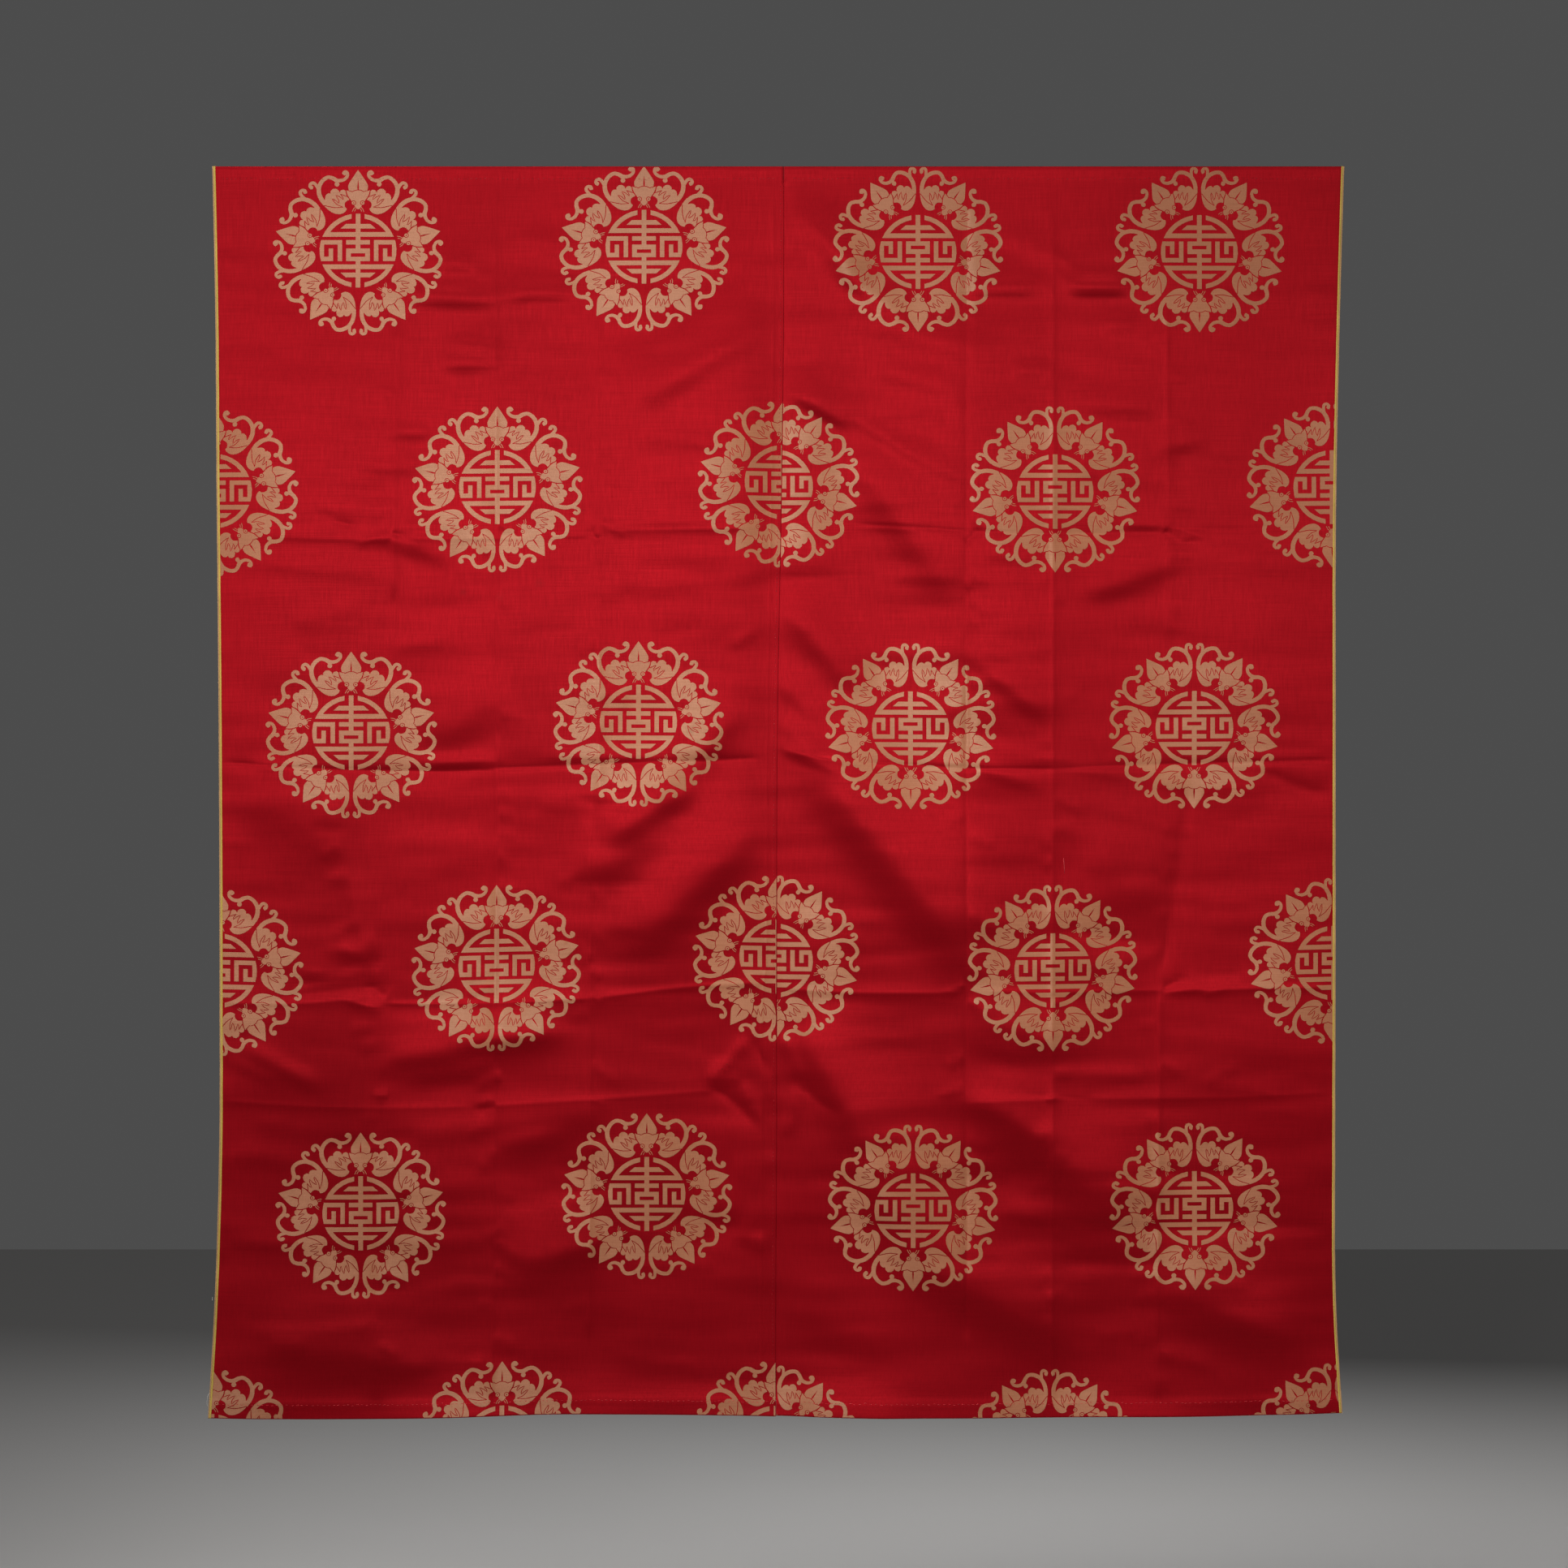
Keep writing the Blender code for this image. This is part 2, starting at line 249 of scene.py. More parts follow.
UPRIGHT_CREASES = (
    (-506, 200, -510, 580, 0, 2.2, 5.8),
    (-376, 0, -372, 760, 0, 1.2, 5.8),
    (-372, 740, -380, 1640, 0, 1.8, 5.8),
    (-240, 200, -236, 860, 0, 1.2, 5.8),
    (-250, 860, -250, 1560, 0, 2, 5.8),
    (-592, 825, -538, 1060, 4, 2.2, 12),
    (-535, 1085, -531, 1310, 0, 2.6, 9),
    (-531, 1270, -530, 1640, 0, 2.3, 10),
    (249, 20, 249, 1560, 0, -1.8, 5.8),
    (364, 20, 362, 1640, 0, 1.8, 5.8),
    (514, 180, 518, 640, 0, 1.5, 5.8),
    (546, 810, 506, 1075, -3, -2.2, 10),
    (506, 1080, 500, 1640, 0, 2, 5.8),
)
# Short wrinkles, most of them where creases cross
WRINKLES = (
    (-618, 454, -552, 478, 4, -1.2, 6),
    (-560, 502, -514, 486, 0, 1.3, 6),
    (-514, 486, -486, 500, -3, -1.8, 6),
    (-690, 524, -520, 540, 4, 0.6, 8),
    (-252, 482, -236, 500, 0, -1.4, 5),
    (-300, 520, -60, 556, 4, -0.6, 12),
    (246, 500, 268, 480, 0, -1.7, 6),
    (510, 482, 530, 500, 0, -1.6, 6),
    (520, 480, 566, 496, -4, 1.2, 5),
    (524, 502, 556, 494, 2, -1.1, 5),
    (250, 530, 380, 530, 2, -1.4, 12),
    (246, 560, 262, 545, 0, 1.2, 6),
    (-324, 846, -210, 842, 6, 1.1, 7),
    (-270, 838, -190, 850, 4, -1.4, 7),
    (-190, 850, -120, 818, 6, -1.2, 7),
    (636, 800, 735, 838, 4, -1.9, 8),
    (360, 878, 392, 872, 0, 1, 6),
    (366, 700, 380, 690, 0, -0.9, 6),
    (-640, 1066, -535, 1060, 4, 1.6, 6),
    (-646, 1084, -545, 1054, 0, -1.2, 6),
    (-585, 1030, -530, 1050, 3, 1.4, 6),
    (-575, 1100, -524, 1112, 2, 1.8, 6),
    (-545, 1078, -520, 1100, 0, -1.6, 6),
    (-545, 1040, -528, 1056, 0, -1.4, 6),
    (-262, 1064, -246, 1040, 0, 1.4, 6),
    (508, 1092, 545, 1076, -2, -1.8, 6),
    (508, 1098, 566, 1090, -3, 1.4, 6),
    (546, 1076, 620, 1070, 2, -1, 7),
    (560, 1100, 600, 1084, 2, 1, 6),
    (-402, 1222, -362, 1206, -3, 1.9, 6),
    (-400, 1252, -372, 1244, 0, -1.4, 6),
    (352, 1234, 374, 1230, 0, 1.4, 5),
    (560, 1216, 612, 1190, 0, 0.9, 6),
    (-396, 1330, -372, 1300, 0, 1.1, 6),
    (-390, 1420, -360, 1404, 0, 1.1, 6),
    (352, 1500, 380, 1486, 0, 1.2, 6),
)
# The star of wrinkles at the seam
STAR_WRINKLES = (
    (-96, 1216, -36, 1152, 2, 2.6, 6),
    (-96, 1216, -46, 1212, -3, 1.8, 6),
    (-46, 1212, -24, 1268, 3, 2.4, 6),
    (-96, 1218, -30, 1274, -6, -2.2, 7),
    (-36, 1152, -10, 1210, 0, -1.8, 6),
    (-12, 1222, -10, 1320, 0, -1.6, 5),
    (4, 1150, 28, 1214, -3, 2.4, 6),
    (28, 1214, 6, 1290, -3, 2, 6),
    (28, 1214, 90, 1260, 4, -2, 9),
)
RIDGE_TAPER = 0.40
CREASE_END, CREASE_FADE = 0.22, 0.030
CREASE_CUSP = 0.16
PUCKER_HALF, PUCKER_MARGIN = 0.0055, 0.03
SMALL_RAMP = 0.110

# Thickness of the sheets that are shown, and their grid
SHEET = 0.0006
FIGURE_SHEET = 0.0011
SELVEDGE_SHEET = 0.0010
GRID_STEP = 0.0065
FINE_STEP = 0.0022
LEVEL_BANDS = ((0.470, 0.502), (0.772, 0.806), (1.080, 1.112), (1.226, 1.250))
UPRIGHT_BAND = 0.007
UPRIGHT_LINES = {"left": (0.246, 0.378, 0.524), "right": (0.250, 0.364, 0.512)}
FINE_WRINKLES = 420
RIPPLE_STEEPNESS = 0.0022
FINE_RIPPLES = 26

# The folded-away cloth keeps a slight bulge in each oblong between its creases, in metres.
# Each row runs from the seam outwards, and each side has its rows from the top down.
BULGE_SCALE = 1.5
BULGE_LEVELS = (0.0, 0.172, 0.486, 0.794, 1.100, 1.238, 1.408, HEIGHT)
BULGE_LINES = {"left": (0.0, 0.244, 0.378, 0.526, 0.750), "right": (0.0, 0.250, 0.364, 0.514, 0.740)}
BULGES = {
    "left": (
        (0.0006, -0.0005, 0.0009, -0.0004),
        (0.0016, 0.0006, -0.0008, 0.0014),
        (-0.0008, 0.0008, 0.0012, -0.0010),
        (0.0022, -0.0008, 0.0016, -0.0014),
        (-0.0008, 0.0007, -0.0010, 0.0009),
        (0.0010, -0.0009, 0.0011, -0.0012),
        (0.0016, 0.0008, -0.0013, 0.0015),
    ),
    "right": (
        (0.0009, -0.0006, 0.0008, -0.0006),
        (0.0013, -0.0007, 0.0010, -0.0011),
        (-0.0012, 0.0010, -0.0009, 0.0012),
        (0.0018, -0.0010, 0.0012, -0.0013),
        (-0.0009, 0.0008, -0.0008, 0.0010),
        (0.0014, -0.0012, 0.0009, -0.0009),
        (-0.0013, 0.0009, -0.0014, 0.0012),
    ),
}

# The repeat of the woven figure, as it hangs: where each row's centres are
MOTIF_UNIT = 0.00111
MOTIF_CENTRES = {
    "left": (
        ((-0.557, 0.114), (-0.178, 0.109)),
        ((-0.747, 0.433), (-0.372, 0.428), (0.0065, 0.421)),
        ((-0.565, 0.751), (-0.185, 0.740)),
        ((-0.741, 1.067), (-0.373, 1.062), (-0.0006, 1.049)),
        ((-0.553, 1.385), (-0.174, 1.366)),
        ((-0.747, 1.700), (-0.365, 1.692), (-0.0030, 1.692)),
    ),
    "right": (
        ((0.185, 0.112), (0.558, 0.112)),
        ((-0.0052, 0.423), (0.366, 0.430), (0.733, 0.425)),
        ((0.175, 0.743), (0.551, 0.743)),
        ((-0.0052, 1.051), (0.363, 1.062), (0.734, 1.057)),
        ((0.178, 1.379), (0.551, 1.379)),
        ((-0.0040, 1.700), (0.359, 1.702), (0.733, 1.700)),
    ),
}
FIGURE_TOP = 0.0016
FIGURE_CLEAR_OF_FOLD = 0.0007
CLIP_STEP = 0.010
MESHING_TOLERANCE = 1e-7

SELVEDGE_OUTER, SELVEDGE_INNER = 0.0015, 0.0038
SELVEDGE_WRAP = 0.0003

# Hand sewing
SEAM_STITCH_IN, SEAM_STITCH_PITCH, SEAM_STITCH_LENGTH = 0.0044, 0.0056, 0.0022
HEM_STITCH_IN, HEM_STITCH_PITCH, HEM_STITCH_LENGTH = 0.0012, 0.0062, 0.0036
SEAM_STITCH_MARGIN, HEM_STITCH_MARGIN = 0.026, 0.012
STITCH_RADIUS = 0.00028
HEADING_RADIUS = STITCH_RADIUS * 0.8
STITCH_SIDES = 6
THREAD_TIP = 0.55
ASKEW = (0.31, 0.17, 0.93)
LOOSE_RADIUS = 0.00040
LOOSE_LIFT = SHEET / 2 + 0.0001

# A stitch, as shares of its length and lifts off the middle of the sheet
STITCH_PATH = (
    (0.0, 0.00010),
    (0.12, SHEET / 2 + 0.00012),
    (0.5, SHEET / 2 + 0.00024),
    (0.88, SHEET / 2 + 0.00012),
    (1.0, 0.00010),
)

# Threads that have come loose, in places across and down, and how far each bows off the cloth
LOOSE_THREADS = (
    (
        ((-0.7490, 1.4960), (-0.7508, 1.4975), (-0.7516, 1.4995), (-0.7508, 1.5015), (-0.7492, 1.5005)),
        0.0006,
    ),
    (
        ((-0.7505, 1.6215), (-0.7530, 1.6260), (-0.7537, 1.6320), (-0.7534, 1.6375), (-0.7528, 1.6405)),
        0.0005,
    ),
)
SLUB = (((0.3774, 0.9157), (0.3777, 0.9220), (0.3782, 0.9290), (0.3785, 0.9361)), 0.0002)

# Colours, in linear light
RED_FACE = (0.350, 0.0038, 0.0098, 1.0)
RED_DEEP = (0.262, 0.0024, 0.0072, 1.0)
RED_REVERSE = (0.300, 0.0200, 0.0170, 1.0)
BRONZE_FACE = (0.350, 0.132, 0.068, 1.0)
BRONZE_DEEP = (0.283, 0.098, 0.048, 1.0)
STAIN_DARK = (0.170, 0.0060, 0.0080, 1.0)
STAIN_BROWN = (0.200, 0.075, 0.030, 1.0)
FLOOR_COLOUR = (0.60, 0.59, 0.58, 1.0)
ROOM_COLOUR = (0.56, 0.56, 0.56, 1.0)
ROOM_STRENGTH = 0.13

# Each yarn's material, colour and roughness
YARNS = {
    "cream": ("cream_selvedge", (0.420, 0.240, 0.105, 1.0), 0.62),
    "green": ("green_selvedge_line", (0.480, 0.335, 0.060, 1.0), 0.62),
    "sewing": ("red_sewing_thread", (0.300, 0.0060, 0.0110, 1.0), 0.50),
    # The hem thread's own red, lightened well past the sewing thread's: a painted highlight along the hem's row
    # of stitches
    "hemming_painted_highlight": ("hem_thread_painted_highlight", (0.520, 0.022, 0.030, 1.0), 0.50),
    "pale": ("pale_loose_thread", (0.420, 0.400, 0.370, 1.0), 0.60),
    "pink": ("pink_slub", (0.430, 0.034, 0.040, 1.0), 0.60),
}

Stain = namedtuple("Stain", "x drop radius strength")
GROUND_STAINS = (
    Stain(-0.417, 0.565, 0.0065, 0.42),
    Stain(-0.316, 0.553, 0.0080, 0.38),
    Stain(-0.369, 0.572, 0.0075, 0.26),
    Stain(-0.184, 0.676, 0.0070, 0.45),
)
FIGURE_STAINS = (
    Stain(-0.116, 0.748, 0.0085, 0.80),
    Stain(-0.107, 0.739, 0.0100, 0.40),
)

# How each weave looks. A layer of its threads has a scale per metre, a detail, a roughness and a share.
# low and high bound the layers' sum, from the threads' depths to their faces.
# turn is 0 where the threads float upright, and 0.25 where they float level.
Weave = namedtuple(
    "Weave",
    "layers low high mottle bright smoother metal specular tint glow_tint turn gloss relief stains stain_colour",
)
RED_WEAVE = Weave(
    layers=(
        ((950, 950, 34), 3.0, 0.6, 0.50),
        ((16, 16, 1100), 2.0, 0.5, 0.36),
        ((1500, 1500, 1500), 1.0, 0.5, 0.22),
    ),
    low=0.36, high=0.72, mottle=(4.2, 4.2, 3.1), bright=1.05, smoother=0.03,
    metal=0.55, specular=0.42, tint=(1.0, 0.22, 0.20, 1.0), glow_tint=(1.0, 0.07, 0.09, 1.0),
    turn=0.0, gloss=0.74, relief=0.00006, stains=GROUND_STAINS, stain_colour=STAIN_DARK,
)
BRONZE_WEAVE = Weave(
    layers=(
        ((42, 42, 1250), 3.0, 0.6, 0.60),
        ((1300, 1300, 210), 2.0, 0.5, 0.40),
    ),
    low=0.34, high=0.66, mottle=(9.0, 9.0, 9.0), bright=1.06, smoother=0.04,
    metal=0.0, specular=0.40, tint=(1.0, 0.80, 0.62, 1.0), glow_tint=(1.0, 0.76, 0.58, 1.0),
    turn=0.25, gloss=0.50, relief=0.00007, stains=FIGURE_STAINS, stain_colour=STAIN_BROWN,
)
MOTTLE_DULL = 0.93
DEEP_ROUGHER = 0.05

# The photograph's framing
VIEW_X, VIEW_Z = 0.0075, -0.8190
VIEW_DISTANCE = 5.0
VIEW_WIDTH = 2.079
SENSOR = 36.0
FLOOR_DEPTH = -2.300
FLOOR_SIZE = 14.0

# Area lights. aim is the height that a light looks at, and spread is its beam in degrees.
Light = namedtuple("Light", "name place size power spread aim colour")
LIGHTS = (
    Light("key_light", (-0.75, -2.2, 2.20), (2.6, 0.6), 11.2, 36.0, -0.92, (1.0, 0.985, 0.96)),
    Light("fill_light", (-0.70, -3.8, -0.10), (1.1, 1.1), 23.8, 90.0, -0.60, (1.0, 0.985, 0.97)),
    Light("back_light", (0.6, 3.6, 0.8), (2.4, 2.4), 60.0, 180.0, -0.70, (1.0, 1.0, 1.0)),
)

# The woven figure, as charted: five bats round a fret of long life.
# Its units are hundredths of its radius, and half of one bat stands for all.
Shape = namedtuple("Shape", "points gold")

MOTIF_SQUASH = 0.965
MOTIF_REACH = 104
VEIN = 0.85
VEIN_STEPS = 2
OUTLINE_FIT, OUTLINE_LONGEST = 0.17, 8.0

# The fret, from its own centre. Bars are told by their lower and upper edge.
FRET_RISE = 1.8
FRET_RADIUS = 46.0
FRET_BAR = 5.6
SPINE_HALF, SPINE_TOP = 2.8, 45.8
SPINE_CLEAR = 7.8
CHORD_LOW, CHORD_HIGH = 17.1, 22.9
SHORT_LOW, SHORT_HIGH = 27.3, 33.1
SHORT_WIDE, SHORT_NARROW = 21.0, 14.5
MIDDLE = 13.0
MIDDLE_BAR_LOW = 7.5
BOX_HALF, BOX_TOP = 14.2, 2.6
SLOT_HALF, SLOT_LOW, SLOT_HIGH = 8.5, -7.7, -3.3
KEY_LEG_INNER, KEY_LEG_OUTER = 19.0, 24.3
KEY_HOOK_INNER, KEY_HOOK_OUTER = 29.8, 35.0
KEY_SIDE = 40.6
KEY_HOOK_TOP = 2.6

# Where the bats sit round the fret, and how far each reaches on its two sides
Bat = namedtuple("Bat", "angle reach_left reach_right")
HALF_REACH = 37.65
BATS = (
    Bat(0.0, 37.65, 37.65),
    Bat(75.3, 37.65, 35.35),
    Bat(146.0, 35.35, 34.0),
    Bat(-146.0, 34.0, 35.35),
    Bat(-75.3, 35.35, 37.65),
)

# Half of one bat, right of its middle line, with the medallion's centre at 0, 0
TAIL = (
    (0.0, 101.5), (3.2, 97.0), (7.2, 90.8), (10.2, 86.0), (11.8, 82.2), (11.6, 78.6), (10.4, 74.0),
    (0.0, 74.0),
)
TAIL_SLIT = ((0.0, 90.5), (0.45, 86.0), (0.95, 80.5), (0.7, 76.8), (0.0, 76.4))
SHIELD_TOP = ((0.0, 77.0), (2.8, 76.7), (5.4, 75.6), (7.0, 74.6), (8.6, 75.6), (11.0, 75.9), (14.4, 77.2))
SHIELD_SIDE = (
    (14.4, 77.2), (13.8, 73.0), (12.0, 68.6), (9.2, 64.6), (7.0, 61.0), (4.6, 57.6), (2.4, 54.4),
    (0.0, 52.9),
)
SHIELD_MIDDLE = (0.0, 60.0)
SHIELD_VEIN_END = -6
EYE = (5.4, 60.9)
EYE_SOCKET, EYE_BALL, EYE_DOT = 3.1, 2.3, 0.8
EYE_DOT_STEPS = 8
WHISKERS = (
    ((3.6, 55.4), (5.4, 53.6), (6.9, 50.2)),
    ((2.3, 53.6), (3.4, 52.4), (4.3, 50.4)),
)
WHISKER_WIDTH = 0.75

WING_TOP = (
    (13.2, 68.8), (14.6, 72.4), (14.8, 75.4), (17.6, 77.3), (21.0, 76.0), (22.2, 73.6), (23.2, 76.2),
    (26.4, 78.4), (30.4, 78.0), (33.0, 75.0), (33.0, 72.6), (35.6, 72.8), (38.2, 71.0), (39.4, 67.8),
    (39.6, 64.8), (42.0, 65.0),
)
WING_EDGE = (
    (44.0, 63.0), (40.0, 56.6), (35.0, 51.8), (29.4, 48.2), (23.0, 46.8), (18.0, 48.0), (14.6, 51.0),
    (13.4, 53.6),
)
WING_BITE = ((15.4, 55.4), (16.2, 58.6), (15.2, 61.9), (12.4, 64.0), (10.4, 64.8), (11.8, 67.0))
VEINS = (
    ((12.6, 68.6), (16.4, 69.8), (21.2, 71.8), (18.6, 68.6), (17.6, 65.0), (21.4, 68.0), (26.6, 70.4),
     (23.6, 65.4), (22.8, 60.4), (26.6, 63.8), (31.2, 65.8), (28.4, 62.0), (24.6, 58.4), (18.2, 55.6)),
    ((40.2, 57.6), (34.8, 56.4), (27.8, 55.0), (18.2, 55.6)),
)

# Tendrils, as a middle line with its widths
TENDRIL = (
    (39.6, 59.6, 5.0), (43.8, 65.2, 5.4), (46.6, 72.4, 5.3), (46.6, 80.6, 5.0), (42.8, 88.0, 4.8),
    (36.6, 92.4, 4.6), (30.6, 91.6, 4.8), (25.8, 88.9, 5.0), (20.8, 88.6, 4.2), (16.2, 90.2, 3.9),
    (12.9, 93.8, 3.7), (12.8, 98.0, 3.6), (15.6, 99.6, 3.4), (17.6, 97.6, 3.2),
)
TENDRIL_KNOB = (15.9, 97.2, 2.3)
BUD = ((27.6, 89.6, 4.0), (25.2, 86.6, 3.6), (25.0, 84.6, 3.2))
BUD_KNOB = (25.2, 84.0, 2.9)
HOOK = (
    (47.4, 77.0, 3.0), (50.0, 82.6, 3.8), (53.4, 85.6, 3.9), (56.8, 84.4, 3.6), (57.7, 81.0, 3.4),
    (55.6, 79.0, 3.2),
)
HOOK_KNOB = (55.9, 80.2, 2.4)

CURVE_STEPS = 3
RIBBON_END_STEPS = 4
DISC_STEPS = 12
ARC_DEGREES = 5.0


def curve_through(points, steps=CURVE_STEPS):
    """More points on a smooth line through these."""
    last = len(points) - 1
    line = []
    for i in range(last):
        before, start, end, after = points[max(i - 1, 0)], points[i], points[i + 1], points[min(i + 2, last)]
        for k in range(steps):
            t = k / steps
            line.append(tuple(
                0.5 * (2 * b + (c - a) * t + (2 * a - 5 * b + 4 * c - d) * t * t
                       + (3 * b - a - 3 * c + d) * t ** 3)
                for a, b, c, d in zip(before, start, end, after)
            ))
    line.append(tuple(points[last]))
    return line


def disc(x, y, radius, steps=DISC_STEPS):
    turns = [2 * math.pi * k / steps for k in range(steps)]
    return [(x + radius * math.cos(turn), y + radius * math.sin(turn)) for turn in turns]


def ribbon(line):
    """The outline of a band along a line of (x, y, width), with round ends."""
    sides = [[], []]
    for i, (x, y, width) in enumerate(line):
        x0, y0 = line[max(i - 1, 0)][:2]
        x1, y1 = line[min(i + 1, len(line) - 1)][:2]
        length = math.hypot(x1 - x0, y1 - y0)
        across = ((y0 - y1) / length * width / 2, (x1 - x0) / length * width / 2)
        sides[0].append((x + across[0], y + across[1]))
        sides[1].append((x - across[0], y - across[1]))
    return sides[0] + round_end(line[-2], line[-1]) + sides[1][::-1] + round_end(line[1], line[0])


def round_end(before, end):
    """The half circle that closes a ribbon past its end, from its left side to its right."""
    heading = math.atan2(end[1] - before[1], end[0] - before[0])
    turns = [heading + math.pi * (0.5 - k / RIBBON_END_STEPS) for k in range(1, RIBBON_END_STEPS)]
    return [(end[0] + end[2] / 2 * math.cos(turn), end[1] + end[2] / 2 * math.sin(turn)) for turn in turns]


def vein(points, width=VEIN):
    return ribbon([(x, y, width) for x, y in points])


def half_bat():
    """The right half of a bat: the shapes of its body, and the details that cover them, in order."""
    shield_top = curve_through(SHIELD_TOP)
    shield_side = curve_through(SHIELD_SIDE)
    body = [
        curve_through(TAIL[:-1]) + [TAIL[-1]],
        shield_top + shield_side[1:] + [SHIELD_MIDDLE],
        curve_through(WING_TOP) + curve_through(WING_EDGE) + curve_through(WING_BITE),
    ]
    for line, knob in ((TENDRIL, TENDRIL_KNOB), (BUD, BUD_KNOB), (HOOK, HOOK_KNOB)):
        body += [ribbon(curve_through(line)), disc(*knob)]
    veins = [vein(shield_top), vein(shield_side[:SHIELD_VEIN_END])]
    veins += [vein(curve_through(points, VEIN_STEPS)) for points in VEINS]
    details = [Shape(points, False) for points in [TAIL_SLIT, *veins]]
    details += [Shape(vein(curve_through(points), WHISKER_WIDTH), True) for points in WHISKERS]
    details.append(Shape(disc(*EYE, EYE_SOCKET), False))
    details.append(Shape(disc(*EYE, EYE_BALL), True))
    details.append(Shape(disc(*EYE, EYE_DOT, EYE_DOT_STEPS), False))
    return [Shape(points, True) for points in body], details


def turned(points, side, bat):
    """A half bat's points, mirrored for the left side and turned to the bat's place round the fret."""
    reach = bat.reach_right if side > 0 else bat.reach_left
    placed = []
    for x, y in points:
        angle = math.degrees(math.atan2(x, y)) * side * reach / HALF_REACH + bat.angle
        radius = math.hypot(x, y)
        placed.append((radius * math.sin(math.radians(angle)), radius * math.cos(math.radians(angle))))
    return placed


def arc(radius, start, end):
    steps = max(1, math.ceil(abs(end - start) / ARC_DEGREES))
    turns = [math.radians(start + (end - start) * k / steps) for k in range(steps + 1)]
    return [(radius * math.cos(turn), radius * math.sin(turn)) for turn in turns]


def box(x0, y0, x1, y1):
    return [(x0, y0), (x1, y0), (x1, y1), (x0, y1)]


def angle_at_height(radius, height):
    return math.degrees(math.asin(height / radius))


def angle_at_side(radius, side):
    return math.degrees(math.acos(side / radius))


def fret_quarter():
    """The shapes in one quarter that repeat, mirrored, in all four."""
    inner = FRET_RADIUS - FRET_BAR
    rim = arc(FRET_RADIUS, angle_at_height(FRET_RADIUS, CHORD_LOW), angle_at_side(FRET_RADIUS, SPINE_CLEAR))
    back = arc(inner, angle_at_side(inner, SPINE_CLEAR), angle_at_height(inner, CHORD_HIGH))
    return [
        rim + back + [(0.0, CHORD_HIGH), (0.0, CHORD_LOW)],
        [(0.0, SHORT_LOW), (SHORT_WIDE, SHORT_LOW), (SHORT_NARROW, SHORT_HIGH), (0.0, SHORT_HIGH)],
        box(0.0, CHORD_LOW, SPINE_HALF, SPINE_TOP),
    ]


def fret_side():
    """The shapes right of the spine in the middle band."""
    low, high = angle_at_height(FRET_RADIUS, -MIDDLE), angle_at_height(FRET_RADIUS, MIDDLE)
    bar_low = MIDDLE_BAR_LOW
    return [
        box(0.0, BOX_TOP, SPINE_HALF, CHORD_LOW),
        box(0.0, -CHORD_LOW, SPINE_HALF, -MIDDLE),
        box(0.0, bar_low, BOX_HALF, MIDDLE),
        box(0.0, -MIDDLE, BOX_HALF, BOX_TOP),
        arc(FRET_RADIUS, low, high) + [(KEY_SIDE, MIDDLE), (KEY_SIDE, -MIDDLE)],
        box(KEY_LEG_INNER, bar_low, KEY_SIDE, MIDDLE),
        box(KEY_LEG_INNER, -MIDDLE, KEY_LEG_OUTER, MIDDLE),
        box(KEY_HOOK_INNER, -MIDDLE, KEY_SIDE, -bar_low),
        box(KEY_HOOK_INNER, -MIDDLE, KEY_HOOK_OUTER, KEY_HOOK_TOP),
    ]


def fret():
    shapes = []
    for side in (1, -1):
        for up in (1, -1):
            for points in fret_quarter():
                shapes.append(Shape([(x * side, y * up + FRET_RISE) for x, y in points], True))
        for points in fret_side():
            shapes.append(Shape([(x * side, y + FRET_RISE) for x, y in points], True))
    slot = box(-SLOT_HALF, SLOT_LOW + FRET_RISE, SLOT_HALF, SLOT_HIGH + FRET_RISE)
    shapes.append(Shape(slot, False))
    return shapes


def medallion():
    """Every shape of the woven figure, in the order in which they cover each other."""
    shapes = fret()
    layers = half_bat()
    for bat in BATS:
        for layer in layers:
            for side in (1, -1):
                shapes += [Shape(turned(s.points, side, bat), s.gold) for s in layer]
    return shapes


def curve_at(stations, values, at):
    """Values of a smooth curve through the stations."""
    stations, values = np.asarray(stations, float), np.asarray(values, float)
    slopes = np.gradient(values, stations)
    i = np.clip(np.searchsorted(stations, at) - 1, 0, len(stations) - 2)
    span = stations[i + 1] - stations[i]
    s = np.clip((at - stations[i]) / span, 0, 1)
    rise = s * s * (3 - 2 * s)
    return (
        values[i] * (1 - rise)
        + values[i + 1] * rise
        + slopes[i] * span * s * (1 - s) ** 2
        - slopes[i + 1] * span * s * s * (1 - s)
    )


def outline_at(edge, drop):
    """Where the left edge, the seam or the right edge is at this drop."""
    return curve_at([o.drop for o in OUTLINE], [getattr(o, edge) for o in OUTLINE], drop)


def smooth_step(t):
    t = np.clip(t, 0, 1)
    return t * t * (3 - 2 * t)


def along_and_aside(x, drop, line):
    """How far along a line each point lies, from 0 to 1, and how far above it."""
    run, fall = line.x1 - line.x0, line.drop1 - line.drop0
    length = math.hypot(run, fall)
    along = ((x - line.x0) * run + (drop - line.drop0) * fall) / length**2
    aside = ((x - line.x0) * fall - (drop - line.drop0) * run) / length
    return along, aside


def in_metres(kind, rows):
    """Rows of millimetres as ridges or creases in metres."""
    return [kind(*(value / 1000 for value in row)) for row in rows]


def ridge_swell(x, drop, ridge):
    """A tapered ridge that falls off faster below its crest than above it."""
    along, aside = along_and_aside(x, drop, ridge)
    taper = np.exp(-(((along - 0.5) / RIDGE_TAPER) ** 4))
    side = np.where(aside > 0, ridge.above, ridge.below)
    return ridge.height * taper * np.exp(-((aside / side) ** 2))


